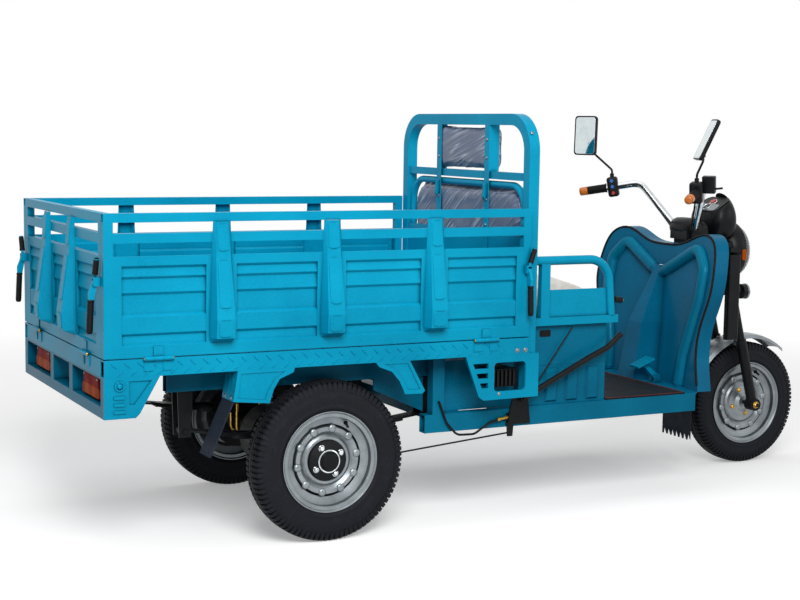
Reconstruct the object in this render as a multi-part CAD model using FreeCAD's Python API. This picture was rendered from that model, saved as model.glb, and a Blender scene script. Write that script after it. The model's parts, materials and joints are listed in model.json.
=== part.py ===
import FreeCAD, Part
import math
import os

V = FreeCAD.Vector

# Frame: +X forward, +Y left, +Z up, ground at Z = 0; lengths in millimetres, angles in degrees.
# Places along X are counted from the rear axle and moved to the middle of the tricycle on saving.

# Wheels
wheelbase = 2080
rear_tyre_radius = 266
rear_tyre_width = 96
rear_wheel_y = 440
front_tyre_radius = 250
front_tyre_width = 90
rim_flange_radius = 168
rim_seat_radius = 152.4
rim_well_radius = 124
rim_wall = 3
disc_fit = 0.01
tyre_wall = 9
disc_dimples = 10
wheel_nut_circle = 50
wheel_nut_radius = 8
wheel_nuts = 4
hub_cap_radius = 70
drum_radius = 96
shaft_radius = 16
running_clearance = 0.05

# Cargo deck
bed_length = 1500
bed_overhang = 760
bed_width = 1000
deck_top = 643
deck_edge_height = 55
deck_sheet = 2
edge_sheet = 3
edge_flange = 35
floor_rib_count = 6
floor_rib_height = 5
floor_rib_width = 24

# Drop panels
panel_clearance = 4
panel_top = 1087
panel_depth = 25
post_width = 30
top_rail_height = 28
second_rail_height = 30
second_rail_drop = 61
third_rail_drop = 130
third_rail_height = 29
bottom_rail_height = 34
sheet_drop = 130
panel_sheet = 2
sheet_border = 24
flat_band = 29
stake_width = 80
stake_face = 60
stake_bulge = 45
stake_rise = 2.5
stake_wall = 2.5
panel_end_gap = 2
side_stake_shares = (0.25, 0.5, 0.75)
gate_stake_y = 150
side_hinge_end = 170
gate_hinge_y = 300

# Stakes: share of the post's height, then share of the full bulge and of the full width there
stake_sections = [(0.09, 0.15, 0.95), (0.125, 0.9, 1.0), (0.27, 1.0, 1.0), (0.72, 0.4, 0.85),
                  (1.0, 0.2, 0.72)]

# Panel hinges
knuckle_radius = 7
hinge_pin_radius = 4
knuckle_length = 30
knuckle_gap = 0.5
hinge_leaf = 3
hinge_stand_off = 0.5

# Latches
latch_pin_radius = 4
latch_hub_radius = 9
latch_width = 14
latch_stand_off = 15
latch_height = 228
latch_grip_radius = 9
latch_grip_length = 100
latch_arm = 56
latch_sleeve_length = 55
latch_lean = 22
latch_ear = 4
latch_side_gap = 0.3
latch_roof_gap = 6

# Chassis
rail_y = 320
rail_width = 40
rail_bottom = 505
rail_rear = -510
upright_x = 442
upright_width = 45
sill_y = 380
sill_width = 40
sill_bottom = 315
sill_top = 378
sill_rear = 390
sill_front = wheelbase - 540
tube_wall = 3
floor_sheet = 3
mat_thickness = 5

# Rear lamp frame and skirts
bumper_bottom = 462
bumper_depth = 60
bumper_rail = 35
bumper_post = 40
lamp_window_inner_y = 140
lamp_width = 190
lamp_height = 78
lamp_y = 300
lamp_set_back = 15
skirt_thickness = 12
plate = 6
mud_flap_thickness = 4
mud_flap_teeth = 6
front_flap_x = wheelbase - 320
front_flap_top = 340
front_flap_width = 184
front_flap_length = 215
front_flap_teeth = 7

# Headboard
arch_half_width = 475
arch_top = 1410
arch_tube = 40
arch_bend = 110
arch_foot = 440
mid_rail_bottom = 1178
mid_rail_height = 27
bar_y = 180
bar_width = 32
bar_sheet = 3
bar_flange = 42
back_arch_half_width = 428
back_arch_radius = 12.5
back_arch_top = 1172
back_arch_bend = 80
head_sheet_top = 985

# Seat
seat_box_rear = 800
seat_box_front = 1137
seat_box_half_width = 383
seat_box_top = 684
seat_box_wall = 2
seat_frame_y = 396
seat_bar_height = 28
seat_bar_width = 24
arm_radius = 16
arm_top = 913
arm_front = 1146
arm_bend = 85
cushion_height = 112

# Leg shield
shield_foot_x = wheelbase - 482
shield_waist_x = wheelbase - 452
shield_top_x = wheelbase - 388
shield_waist_z = 640
shield_arc_top = 990
shield_sheet = 4
shield_wrap = 62
shield_curve_radius = 2080
shield_node_z = 800
shield_top = 966
shield_dip = 915
bead_radius = 24
bead_bend = 48
tunnel_half_width = 74
tunnel_foot_x = wheelbase - 580

# Steering
rake = 15
head_z = 950
head_tube_low = 730
head_tube_high = 880
head_tube_radius = 27
stem_radius = 15
fork_plate = 26
leg_offset = 43
leg_y = 82
stanchion_radius = 16
slider_radius = 21
slider_top = 520
fork_axle_radius = 8
lug_radius = 25
lug_half_length = 23
guard_inner_y = 106
guard_width = 26
guard_rear = wheelbase - 183
guard_front = wheelbase - 127
guard_bottom = 530
guard_top = 872
guard_wall = 3
horn_radius = 30
horn_depth = 26
horn_stub = 46
horn_x = wheelbase - 70
horn_y = -62
horn_z = 716
cover_half_width = 72
cover_wall = 4
cover_low = 930
cover_high = 1000
bar_radius = 11
bar_bend = 42
bar_clamp_x = wheelbase - 305
bar_clamp_y = 60
bar_clamp_z = 968
bar_bend_x = wheelbase - 388
bar_bend_y = 205
bar_bend_z = 1146
grip_end_x = wheelbase - 571
grip_end_y = 358
grip_end_z = 1105
grip_radius = 16
grip_length = 104
fixed_fit = 0.1
cluster_at = 108
cluster_length = 44
cluster_low = -40
cluster_high = 42
perch_at = 46
perch_wall = 5.5
perch_length = 28
perch_reach = 64
perch_high = 58
cable_radius = 3.5
cable_gap = 7
cable_bend = 46
button_radius = 7
button_heights = (26, 2, -24)
nacelle_rear = wheelbase - 227
nacelle_length = 104
nacelle_z = 1006
nacelle_half_width = 104
nacelle_half_height = 106
nacelle_bottom = 938
nacelle_panel_z = 1038
panel_tilt = 33
panel_length = 100
panel_half_width = 74
switch_radius = 12
headlamp_rear = wheelbase - 142
headlamp_z = 880
headlamp_depth = 66
headlamp_half_width = 101
headlamp_half_height = 115
lens_depth = 50
mirror_x = wheelbase - 529
mirror_y = 400
mirror_z = 1335
mirror_drop_right = 8
mirror_width = 104
mirror_height = 162
mirror_depth = 16
mirror_yaw = 25
mirror_pitch_left = 2
mirror_pitch_right = 24
mirror_hub_length = 24
stalk_radius = 4.5
stalk_rise = 34
stalk_neck = 14
stalk_bend = 14
fender_gap = 34
fender_half_width = 52
fender_sheet = 2
fender_front_angle = 50
fender_rear_angle = 158

# Rear axle and springs
axle_tube_radius = 38
backplate_radius = 104
backplate_y = 338
spring_y = 285
spring_width = 50
spring_half_length = 440
spring_eye_z = 352
spring_leaves = 5
spring_leaf = 7
spring_camber = 34
eye_bore_radius = 8

# Foot pedal and parking brake
pedal_pivot_x = wheelbase - 524
pedal_pivot_z = 404
pedal_y = -122
pedal_hub = 24
pedal_pin_radius = 6
pedal_ear = 6
pedal_side_gap = 0.3
pedal_length = 82
pedal_width = 60
lever_pivot_x = 770
lever_pivot_z = 418
lever_y = -423.5
lever_radius = 10.5
lever_pin_radius = 6
drop_arm_x = 728
drop_arm_reach = 34

# Places worked out from the values above
bed_rear = -bed_overhang
bed_front = bed_length - bed_overhang
half_bed = bed_width / 2
deck_bottom = deck_top - deck_edge_height
panel_bottom = deck_top + panel_clearance
panel_height = panel_top - panel_bottom
post_height = panel_height - top_rail_height
hinge_out = knuckle_radius + hinge_stand_off
hinge_drop = panel_clearance - 0.5
floor_top = sill_top + floor_sheet
rear_end = bed_rear - stake_bulge - stake_rise
front_end = wheelbase + front_tyre_radius
middle_x = (rear_end + front_end) / 2
slope = math.tan(math.radians(rake))
head_x = wheelbase - (head_z - front_tyre_radius) * slope - leg_offset / math.cos(math.radians(rake))
side_length = bed_length - panel_end_gap
gate_length = bed_width - 2 * panel_depth - 2 * panel_end_gap
side_stakes = [bed_length * share for share in side_stake_shares]
gate_stakes = [gate_length / 2 - gate_stake_y, gate_length / 2 + gate_stake_y]
side_hinges = [side_hinge_end, side_length - panel_end_gap - side_hinge_end]
gate_hinges = [gate_length / 2 - gate_hinge_y, gate_length / 2 + gate_hinge_y]
bar_clamp_right = V(bar_clamp_x, -bar_clamp_y, bar_clamp_z)
bar_bend_right = V(bar_bend_x, -bar_bend_y, bar_bend_z)
bar_end_right = V(grip_end_x, -grip_end_y, grip_end_z)
grip_dir = (bar_bend_right - bar_end_right).normalize()
grip_rear = V(-grip_dir.y, grip_dir.x, 0).normalize()
grip_up = grip_dir.cross(grip_rear)
panel_low = V(nacelle_rear + 6, 0, nacelle_panel_z)
panel_dir = V(math.cos(math.radians(panel_tilt)), 0, math.sin(math.radians(panel_tilt)))
panel_normal = V(-panel_dir.z, 0, panel_dir.x)
switch_foot = panel_low + panel_dir * (panel_length * 0.62)
axis_dir = V(-math.sin(math.radians(rake)), 0, math.cos(math.radians(rake)))
mirror_plane = V(0, 1, 0)
origin = V(0, 0, 0)


# Building blocks

def box(x0, x1, y0, y1, z0, z1):
    return Part.makeBox(x1 - x0, y1 - y0, z1 - z0, V(x0, y0, z0))


def rod(start, end, radius):
    return Part.makeCylinder(radius, (end - start).Length, start, end - start)


def slab(points, direction):
    return Part.Face(Part.makePolygon(points + points[:1])).extrude(direction)


def slab_y(points, y0, y1):
    return slab([V(x, y0, z) for x, z in points], V(0, y1 - y0, 0))


def slab_x(points, x0, x1):
    return slab([V(x0, y, z) for y, z in points], V(x1 - x0, 0, 0))


def turned(points, centre):
    wire = Part.makePolygon([centre + V(r, y, 0) for r, y in points + points[:1]])
    return Part.Face(wire).revolve(centre, V(0, 1, 0), 360)


def mirrored(shape):
    return shape.mirror(origin, mirror_plane)


def both(shape):
    return [shape, mirrored(shape)]


def fuse(shapes):
    return shapes[0].multiFuse(shapes[1:]).removeSplitter()


def square_tube(x0, x1, y0, y1, z0, z1, along):
    """Box tube with open ends along the axis named."""
    w = tube_wall
    walls = {"x": (0, w, w), "y": (w, 0, w), "z": (w, w, 0)}[along]
    inner = box(x0 + walls[0], x1 - walls[0], y0 + walls[1], y1 - walls[1], z0 + walls[2], z1 - walls[2])
    return box(x0, x1, y0, y1, z0, z1).cut(inner)


def bent_path(points, radius):
    """Straight runs joined by tangent arcs of one radius."""
    edges = []
    last = points[0]
    for before, corner, after in zip(points, points[1:], points[2:]):
        back = (before - corner).normalize()
        ahead = (after - corner).normalize()
        half = back.getAngle(ahead) / 2
        reach = radius / math.tan(half)
        inward = (back + ahead).normalize()
        middle = corner + inward * (radius / math.sin(half) - radius)
        start = corner + back * reach
        end = corner + ahead * reach
        edges.append(Part.LineSegment(last, start).toShape())
        edges.append(Part.Arc(start, middle, end).toShape())
        last = end
    edges.append(Part.LineSegment(last, points[-1]).toShape())
    return Part.Wire(edges)


def round_sweep(points, bend, radius):
    path = bent_path(points, bend)
    ring = Part.Wire(Part.makeCircle(radius, points[0], points[1] - points[0]))
    return path.makePipeShell([ring], True, False)


def ellipse_ring(centre, half_y, half_z):
    ring = Part.Ellipse(V(0, 0, 0), max(half_y, half_z), min(half_y, half_z)).toShape()
    if half_z > half_y:
        ring.rotate(origin, V(0, 0, 1), 90)
    ring.rotate(origin, V(0, 1, 0), 90)
    ring.rotate(origin, V(1, 0, 0), 90)
    ring.translate(centre)
    return Part.Wire(ring)


def axis_point(z):
    """Point on the steering axis at a height."""
    return V(head_x + (head_z - z) * slope, 0, z)


def leg_point(z, y):
    """Point on a fork leg's centre line, which passes through the front axle."""
    return V(wheelbase - (z - front_tyre_radius) * slope, y, z)


def save(node, shapes):
    solids = [solid for shape in shapes for solid in shape.Solids]
    compound = Part.makeCompound(solids)
    compound.translate(V(-middle_x, 0, 0))
    compound.exportStep("parts/" + node + ".step")


# Chassis and deck

def chassis_frame():
    pieces = []
    outer = rail_y + rail_width / 2
    inner = rail_y - rail_width / 2
    rail_front = upright_x + upright_width / 2
    rail = square_tube(rail_rear, rail_front, -outer, -inner, rail_bottom, deck_bottom, "x")
    pieces += both(rail)
    cross_height = 50
    cross_width = 50
    for x in (rail_rear + 60, -190, 170, upright_x - 40):
        pieces.append(square_tube(x - cross_width / 2, x + cross_width / 2, -inner, inner,
                                  deck_bottom - cross_height, deck_bottom, "y"))
    bearer_width = 40
    reach = half_bed - edge_flange - 1
    for x in (bed_rear + 50, -480, -200, 80, 360, bed_front - 50):
        pieces.append(square_tube(x - bearer_width / 2, x + bearer_width / 2, -reach, reach,
                                  deck_bottom, deck_top - deck_sheet, "y"))
    return pieces


def cargo_deck():
    under = deck_top - deck_sheet
    floor = box(bed_rear, bed_front, -half_bed, half_bed, under, deck_top)
    rib_margin = 70
    pitch = (bed_width - 2 * panel_depth) / floor_rib_count
    half = floor_rib_width / 2
    ribs = []
    for i in range(floor_rib_count):
        y = (i + 0.5 - floor_rib_count / 2) * pitch
        section = [(y - half, deck_top), (y - half / 2, deck_top + floor_rib_height),
                   (y + half / 2, deck_top + floor_rib_height), (y + half, deck_top)]
        ribs.append(slab_x(section, bed_rear + rib_margin, bed_front - rib_margin))
    floor = fuse([floor] + ribs)
    t = edge_sheet
    inner = half_bed - edge_flange
    channel = [(-half_bed, deck_bottom), (-inner, deck_bottom), (-inner, deck_bottom + t),
               (-half_bed + t, deck_bottom + t), (-half_bed + t, under - t), (-inner, under - t),
               (-inner, under), (-half_bed, under)]
    beam = slab_x(channel, bed_rear, bed_front)
    end_reach = inner - 1
    rear = box(bed_rear, bed_rear + t, -end_reach, end_reach, deck_bottom, under)
    front = box(bed_front - t, bed_front, -end_reach, end_reach, deck_bottom, under)
    return [floor] + both(beam) + [rear, front]


def front_frame():
    outer = sill_y + sill_width / 2
    inner = sill_y - sill_width / 2
    pieces = both(square_tube(sill_rear, sill_front, -outer, -inner, sill_bottom, sill_top, "x"))
    cross_width = 50
    for x in (sill_rear + 130, seat_box_rear + 30, seat_box_front, sill_front - 25):
        pieces.append(square_tube(x - cross_width / 2, x + cross_width / 2, -inner, inner,
                                  sill_bottom + 10, sill_top, "y"))
    half = upright_width / 2
    upright = square_tube(upright_x - half, upright_x + half, -outer, -inner, sill_top, deck_bottom, "z")
    pieces += both(upright)
    gusset_front = upright_x - half
    gusset_rear = gusset_front - 190
    gusset = slab_y([(gusset_front, sill_top), (gusset_front, rail_bottom), (gusset_rear, rail_bottom),
                     (gusset_rear, rail_bottom - 40)], -rail_y - plate, -rail_y)
    pieces += both(gusset)
    low = axis_point(head_tube_low)
    high = axis_point(head_tube_high)
    tube = rod(low, high, head_tube_radius)
    foot = V(sill_front - 5, 0, floor_top + 19)
    neck = axis_point((head_tube_low + head_tube_high) / 2)
    down_tube = round_sweep([foot, V(shield_waist_x + 60, 0, 560), neck], 120, 22)
    bore = rod(low - axis_dir * 5, high + axis_dir * 5, stem_radius + running_clearance)
    below = box(sill_front - 140, sill_front + 160, -60, 60, sill_bottom, floor_top)
    pieces.append(tube.fuse(down_tube).cut(bore).cut(below))
    return pieces


def floor_pan():
    corner = 80
    nose = shield_foot_x + 30
    side = sill_y + sill_width / 2
    outline = [(seat_box_rear, -side), (sill_front, -side), (nose, -side + corner), (nose, side - corner),
               (sill_front, side), (seat_box_rear, side)]
    pan = slab([V(x, y, sill_top) for x, y in outline], V(0, 0, floor_sheet))
    near = pedal_hub / 2 + pedal_side_gap
    far = near + pedal_ear
    x = pedal_pivot_x
    ear_top = pedal_pivot_z + 10
    ear_line = [(x - 18, floor_top), (x + 18, floor_top), (x + 10, ear_top), (x - 10, ear_top)]
    ears = [slab_y(ear_line, pedal_y - far, pedal_y - near), slab_y(ear_line, pedal_y + near, pedal_y + far)]
    pin = rod(V(x, pedal_y - far, pedal_pivot_z), V(x, pedal_y + far, pedal_pivot_z), pedal_pin_radius)
    return [fuse([pan] + ears + [pin])]


def floor_mat():
    inset = 5
    side = sill_y + sill_width / 2 - inset
    rear = seat_box_front + inset
    front = tunnel_foot_x - inset
    return [box(rear, front, -side, side, floor_top, floor_top + mat_thickness)]


# Drop panels, drawn with the outer face on Y = 0, outwards along -Y, from X = 0 and Z = 0

def stake_shape(z):
    """Bulge and base width of a stake at a height above the panel's foot."""
    share = z / post_height
    for (low, b0, w0), (high, b1, w1) in zip(stake_sections, stake_sections[1:]):
        if share <= high:
            t = (share - low) / (high - low)
            return stake_bulge * (b0 + (b1 - b0) * t), stake_width * (w0 + (w1 - w0) * t)
    return stake_bulge * stake_sections[-1][1], stake_width * stake_sections[-1][2]


def stake_ring(x, z, inset, back):
    bulge, width = stake_shape(z)
    face = width - (stake_width - stake_face)
    half_base = width / 2 - inset
    half_face = face / 2 - inset
    points = [V(x - half_base, back, z), V(x - half_face, inset - bulge, z),
              V(x + half_face, inset - bulge, z), V(x + half_base, back, z)]
    return Part.makePolygon(points + points[:1])


def stake_emboss(x, low, high, width):
    rise = stake_rise
    sections = []
    for z in (low, high):
        bulge = stake_shape(z)[0]
        points = [V(x - width / 2, -bulge + 1, z), V(x - width / 2 + 4, -bulge - rise, z),
                  V(x + width / 2 - 4, -bulge - rise, z), V(x + width / 2, -bulge + 1, z)]
        sections.append(Part.makePolygon(points + points[:1]))
    return Part.makeLoft(sections, True, True)


def stake(x):
    heights = [share * post_height for share, bulge, width in stake_sections]
    outer = Part.makeLoft([stake_ring(x, z, 0, 0) for z in heights], True, True)
    inner = Part.makeLoft([stake_ring(x, z, stake_wall, 1) for z in heights], True, True)
    foot, knee, belly, chest, top = heights
    embosses = [stake_emboss(x, chest + 25, top - 8, 26), stake_emboss(x, belly + 35, chest - 5, 30),
                stake_emboss(x, knee + 5, belly - 5, 34)]
    return fuse([outer.cut(inner)] + embosses)


def sheet_line(top):
    """Pressed section of the panel sheet as height and depth, from its top edge down."""
    step = 8
    return [(top, 0), (top - step, step), (top - 33, 3), (top - 41, 10), (top - 82, 4), (top - 90, 11),
            (top - 147, 11), (top - 156, 1), (top - 207, 1), (top - 215, 9), (bottom_rail_height + 8, 6),
            (bottom_rail_height + 3, 0)]


def panel_pan(x0, x1, top):
    line = sheet_line(top)
    t = panel_sheet
    under = [(z, d + t) for z, d in reversed(line)]
    skin = slab_x([(d, z) for z, d in line + under], x0, x1)
    wall_line = [(top, 0)] + [(z, d) for z, d in reversed(under)] + [(line[-1][0], 0)]
    ends = [slab_x([(d, z) for z, d in wall_line], x, x + t) for x in (x0, x1 - t)]
    return [skin] + ends


def panel_sheet_solid(length, top, stakes):
    stops = [post_width + sheet_border] + stakes + [length - post_width - sheet_border]
    t = panel_sheet
    body = box(post_width, length - post_width, 0, t, bottom_rail_height, top)
    pans = []
    recess_top = min(top - 3, panel_height - sheet_drop - flat_band)
    for i, (left, right) in enumerate(zip(stops, stops[1:])):
        beside = stake_width / 2 + 8
        x0 = left + (beside if i > 0 else 0)
        x1 = right - (beside if i < len(stakes) else 0)
        body = body.cut(box(x0, x1, -1, t + 1, bottom_rail_height + 3, recess_top))
        pans += panel_pan(x0, x1, recess_top)
    return fuse([body] + pans)


def panel(length, stakes, third_rail, hinges):
    """Drop panel: tube frame, pressed sheet, stakes and hinge knuckles."""
    d = panel_depth
    top = panel_height - sheet_drop
    inside = length - post_width
    pieces = [square_tube(0, length, 0, d, post_height, panel_height, "x")]
    pieces += [square_tube(x, x + post_width, 0, d, 0, post_height, "z") for x in (0, inside)]
    second = panel_height - second_rail_drop
    rails = [(second - second_rail_height, second), (0, bottom_rail_height)]
    if third_rail:
        third = panel_height - third_rail_drop
        rails.append((third - third_rail_height, third))
        top = third - third_rail_height
    pieces += [square_tube(post_width, inside, 0, d, low, high, "x") for low, high in rails]
    pieces.append(panel_sheet_solid(length, top, stakes))
    pieces += [stake(x) for x in stakes]
    for x in hinges:
        leaf = box(x - knuckle_length / 2, x + knuckle_length / 2, -hinge_leaf, 0, 2, bottom_rail_height)
        pieces.append(knuckle(x, knuckle_length, leaf))
    return pieces


def knuckle(x, length, leaf):
    """Hinge barrel with its leaf and the bore for the pin."""
    x0 = x - length / 2
    centre = V(x0, -hinge_out, -hinge_drop)
    barrel = rod(centre, centre + V(length, 0, 0), knuckle_radius)
    web = box(x0, x0 + length, -hinge_out, -hinge_stand_off, -1, 4)
    if leaf.BoundBox.ZMax < 0:
        web = box(x0, x0 + length, -hinge_out, -hinge_stand_off, -hinge_drop - 6, -hinge_drop + 1)
    bore = rod(centre - V(1, 0, 0), centre + V(length + 1, 0, 0), hinge_pin_radius + running_clearance)
    return fuse([barrel, web, leaf]).cut(bore)


def fixed_hinge(x):
    """Two fixed knuckles on a leaf below the panel, with the pin through all three."""
    pieces = []
    side = knuckle_length + knuckle_gap
    half = knuckle_length / 2
    low = -panel_clearance - 38
    for sign in (-1, 1):
        at = x + sign * side
        leaf = box(at - half, at + half, -hinge_leaf, 0, low, -panel_clearance - 2)
        pieces.append(knuckle(at, knuckle_length, leaf))
    reach = side + knuckle_length / 2 + 2
    centre = V(x, -hinge_out, -hinge_drop)
    pieces.append(rod(centre - V(reach, 0, 0), centre + V(reach, 0, 0), hinge_pin_radius))
    return pieces


def latch_base(x, lean):
    """Two ears on a panel's post with the pivot pin, and a sleeved hook that leans over the next post."""
    reach = latch_stand_off + 7
    roof = latch_height + latch_hub_radius + latch_roof_gap
    inside = latch_width / 2 + latch_side_gap
    half = inside + latch_ear
    shell = box(x - half, x + half, -reach, 0, latch_height - latch_hub_radius, roof + latch_ear)
    shell = shell.cut(box(x - inside, x + inside, -reach - 1, 0, 0, roof))
    pivot = V(x, -latch_stand_off, latch_height)
    pin = rod(pivot - V(half, 0, 0), pivot + V(half, 0, 0), latch_pin_radius)
    hook_foot = V(x, -latch_stand_off, roof)
    hook_top = hook_foot + V(lean, 0, latch_sleeve_length + 7)
    sleeve_foot = hook_foot + (hook_top - hook_foot) * 0.25
    hook = rod(hook_foot, hook_top, 5).cut(box(x - inside, x + inside, -reach, 0, roof - 20, roof))
    return [fuse([shell, pin, hook, rod(sleeve_foot, hook_top, 8)])]


def latch_lever(x):
    """Lever with a hub on the pin, a cranked arm and a grip below."""
    half = latch_width / 2
    pivot = V(x, -latch_stand_off, latch_height)
    hub = rod(pivot - V(half, 0, 0), pivot + V(half, 0, 0), latch_hub_radius)
    out = latch_stand_off
    h = latch_height
    arm = slab_x([(-out - 8, h + 2), (-out + 6, h - 6), (-out - 4, h - latch_arm), (-out - 20, h - latch_arm),
                  (-out - 20, h - 28)], x - half + 2, x + half - 2)
    grip_top = V(x, -out - 12, h - latch_arm + 4)
    grip = rod(grip_top, grip_top + V(0, -5, -latch_grip_length), latch_grip_radius)
    foot = grip_top.z - latch_grip_length
    grip = grip.makeFillet(6, [e for e in grip.Edges if e.BoundBox.ZMax < foot + 4])
    bore = rod(pivot - V(half + 1, 0, 0), pivot + V(half + 1, 0, 0), latch_pin_radius + running_clearance)
    return fuse([hub, arm, grip]).cut(bore)


def on_right(shape):
    moved = shape.copy()
    moved.translate(V(bed_rear, -half_bed, panel_bottom))
    return moved


def on_rear(shape):
    moved = shape.copy()
    moved.rotate(origin, V(0, 0, 1), -90)
    moved.translate(V(bed_rear, gate_length / 2, panel_bottom))
    return moved


def side_panel_pieces():
    latch = latch_base(side_length - post_width / 2, latch_lean)
    return panel(side_length, side_stakes, False, side_hinges) + latch


def tailgate_pieces():
    left = latch_base(post_width / 2, -latch_lean)
    right = latch_base(gate_length - post_width / 2, latch_lean)
    return panel(gate_length, gate_stakes, True, gate_hinges) + left + right


def panel_hinges():
    pieces = []
    for x in side_hinges:
        for shape in fixed_hinge(x):
            pieces += both(on_right(shape))
    for x in gate_hinges:
        pieces += [on_rear(shape) for shape in fixed_hinge(x)]
    return pieces


# Rear lamp frame, skirts, brackets and flaps

def rear_bumper_frame():
    side = half_bed - skirt_thickness
    inner = bed_rear + bumper_depth
    frame = box(bed_rear, inner, -side, side, bumper_bottom, deck_bottom)
    window_low = bumper_bottom + bumper_rail
    window_side = side - 26
    back = 3
    for y0, y1 in ((lamp_window_inner_y, window_side), (-window_side, -lamp_window_inner_y)):
        frame = frame.cut(box(bed_rear - 1, inner - back, y0, y1, window_low, deck_bottom - 6))
    centre = lamp_window_inner_y - bumper_post
    frame = frame.cut(box(bed_rear - 1, inner + 1, -centre, centre, window_low, deck_bottom - 6))
    hollow_low = bumper_bottom + 3
    frame = frame.cut(box(bed_rear + 3, inner + 1, -side + 3, side - 3, hollow_low, window_low - 3))
    return [frame]


def tail_lamps():
    low = bumper_bottom + bumper_rail + 4
    back = bed_rear + bumper_depth - 3
    face = bed_rear + lamp_set_back
    half = lamp_width / 2
    lens = box(face, back, lamp_y - half, lamp_y + half, low, low + lamp_height)
    rounded = lens.makeFillet(14, [e for e in lens.Edges if abs(e.BoundBox.XMax - face) < 0.1])
    return both(rounded)


def skirts_and_brackets():
    outer = -half_bed
    t = skirt_thickness
    skirt_front = bed_rear + 176
    skirt_low = bed_rear + 105
    rear = slab_y([(bed_rear, deck_bottom), (skirt_front, deck_bottom), (skirt_low + 8, bumper_bottom + 14),
                   (skirt_low - 6, bumper_bottom), (bed_rear, bumper_bottom)], outer, outer + t)
    rear = rear.cut(slab_y([(bed_rear + 78, deck_bottom - 12), (skirt_front - 26, deck_bottom - 12),
                            (skirt_low - 10, bumper_bottom + 42), (bed_rear + 78, bumper_bottom + 42)],
                           outer - 1, outer + 4))
    stud_x = bed_rear + 48
    stud_z = deck_bottom - 26
    ring = rod(V(stud_x, outer + 1, stud_z), V(stud_x, outer - 3, stud_z), 16)
    ring = ring.cut(rod(V(stud_x, outer, stud_z), V(stud_x, outer - 4, stud_z), 11))
    rungs = [box(stud_x - 18, stud_x + 18, outer - 3, outer + 1, z, z + 10)
             for z in (bumper_bottom + 16, bumper_bottom + 38, bumper_bottom + 60)]
    rear = fuse([rear, ring] + rungs)
    top = deck_bottom
    bracket = slab_y([(-330, top), (-136, top), (-140, top - 14), (-188, top - 34), (-208, top - 66),
                      (-222, top - 110), (-345, top - 98)], outer, outer + plate)
    bracket = bracket.cut(slab_y([(-318, top - 10), (-170, top - 10), (-206, top - 36), (-228, top - 70),
                                  (-238, top - 98), (-330, top - 88)], outer - 1, outer + 2))
    flange = slab_y([(-330, top), (-324, top), (-339, top - 98), (-345, top - 98)],
                    outer + plate, outer + 104)
    ribs = [slab_y([(-333, top - 10), (-330, top - 10), (-341, top - 80), (-344, top - 80)], y, y + 10)
            for y in (outer + 22, outer + 50, outer + 78)]
    fore = slab_y([(152, top), (278, top), (336, top - 104), (326, top - 114), (262, top - 112),
                   (240, top - 66), (212, top - 34), (166, top - 16)], outer, outer + plate)
    fore = fore.cut(slab_y([(184, top - 8), (270, top - 8), (318, top - 98), (272, top - 98), (250, top - 58),
                            (220, top - 24)], outer - 1, outer + 2))
    x0 = bed_front - 249
    skirt = slab_y([(x0, top), (bed_front + arch_tube, top), (bed_front + arch_tube, top - 152),
                    (x0 + 72, top - 154), (x0 + 52, top - 140)], outer, outer + t)
    window = box(x0 + 112, bed_front - 12, outer - 1, outer + t + 1, top - 126, top - 26)
    window = window.makeFillet(14, [e for e in window.Edges if e.BoundBox.YLength > t])
    slots = []
    for shift, z in ((0, top - 26), (14, top - 60), (28, top - 94)):
        line = [(x0 + 28 + shift, z), (x0 + 88, z), (x0 + 88, z - 18), (x0 + 36 + shift, z - 18)]
        slots.append(slab_y(line, outer - 1, outer + t + 1))
    skirt = skirt.cut(Part.makeCompound([window] + slots))
    pieces = []
    for shape in (rear, fuse([bracket, flange] + ribs), fore, skirt):
        pieces += both(shape)
    return pieces


def toothed_flap(width, length, thickness, teeth):
    """Flat flap hanging from Z = 0 across Y, with a saw-toothed lower edge."""
    flap = box(0, thickness, -width / 2, width / 2, -length, 0)
    pitch = width / teeth
    for i in range(teeth):
        y = -width / 2 + i * pitch
        notch = [(y - 0.1 * pitch, -length - 1), (y + 0.5 * pitch, -length + 1.1 * pitch),
                 (y + 0.72 * pitch, -length - 1)]
        flap = flap.cut(slab_x(notch, -1, thickness + 1))
    return flap


def mud_flaps():
    width = 96
    flap = toothed_flap(width, 190, mud_flap_thickness, mud_flap_teeth)
    flap.rotate(origin, V(0, 1, 0), 24)
    flap.translate(V(-344, -half_bed + plate + width / 2, deck_bottom - 99))
    front = toothed_flap(front_flap_width, front_flap_length, mud_flap_thickness, front_flap_teeth)
    front.translate(V(front_flap_x, 0, front_flap_top))
    start = shield_foot_x - 10
    bend = front_flap_x - 60
    under = front_flap_x - plate
    top = front_flap_top
    low = top - 30
    strip = slab_y([(start, sill_top), (start, sill_top - plate), (bend, sill_top - plate), (under, top),
                    (under, low), (front_flap_x, low), (front_flap_x, top + 4), (bend + 4, sill_top)],
                   -front_flap_width / 4, front_flap_width / 4)
    return both(flap) + [front, strip]


# Headboard, seat and pads

def arch_sweep(x, half_width, top, foot, bend, section):
    points = [V(x, -half_width, foot), V(x, -half_width, top), V(x, half_width, top), V(x, half_width, foot)]
    return bent_path(points, bend).makePipeShell([section], True, False)


def square_ring(x, y, z, half):
    turns = ((-1, -1), (1, -1), (1, 1), (-1, 1))
    corners = [V(x + half * i, y + half * j, z) for i, j in turns]
    return Part.makePolygon(corners + corners[:1])


def headboard_arch():
    half = arch_tube / 2
    x = bed_front + half
    side = arch_half_width - half
    top = arch_top - half
    outside = square_ring(x, -side, arch_foot, half)
    inside = square_ring(x, -side, arch_foot, half - tube_wall)
    solid = arch_sweep(x, side, top, arch_foot, arch_bend, outside)
    hollow = arch_sweep(x, side, top, arch_foot, arch_bend, inside)
    return [solid.cut(hollow)]


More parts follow.
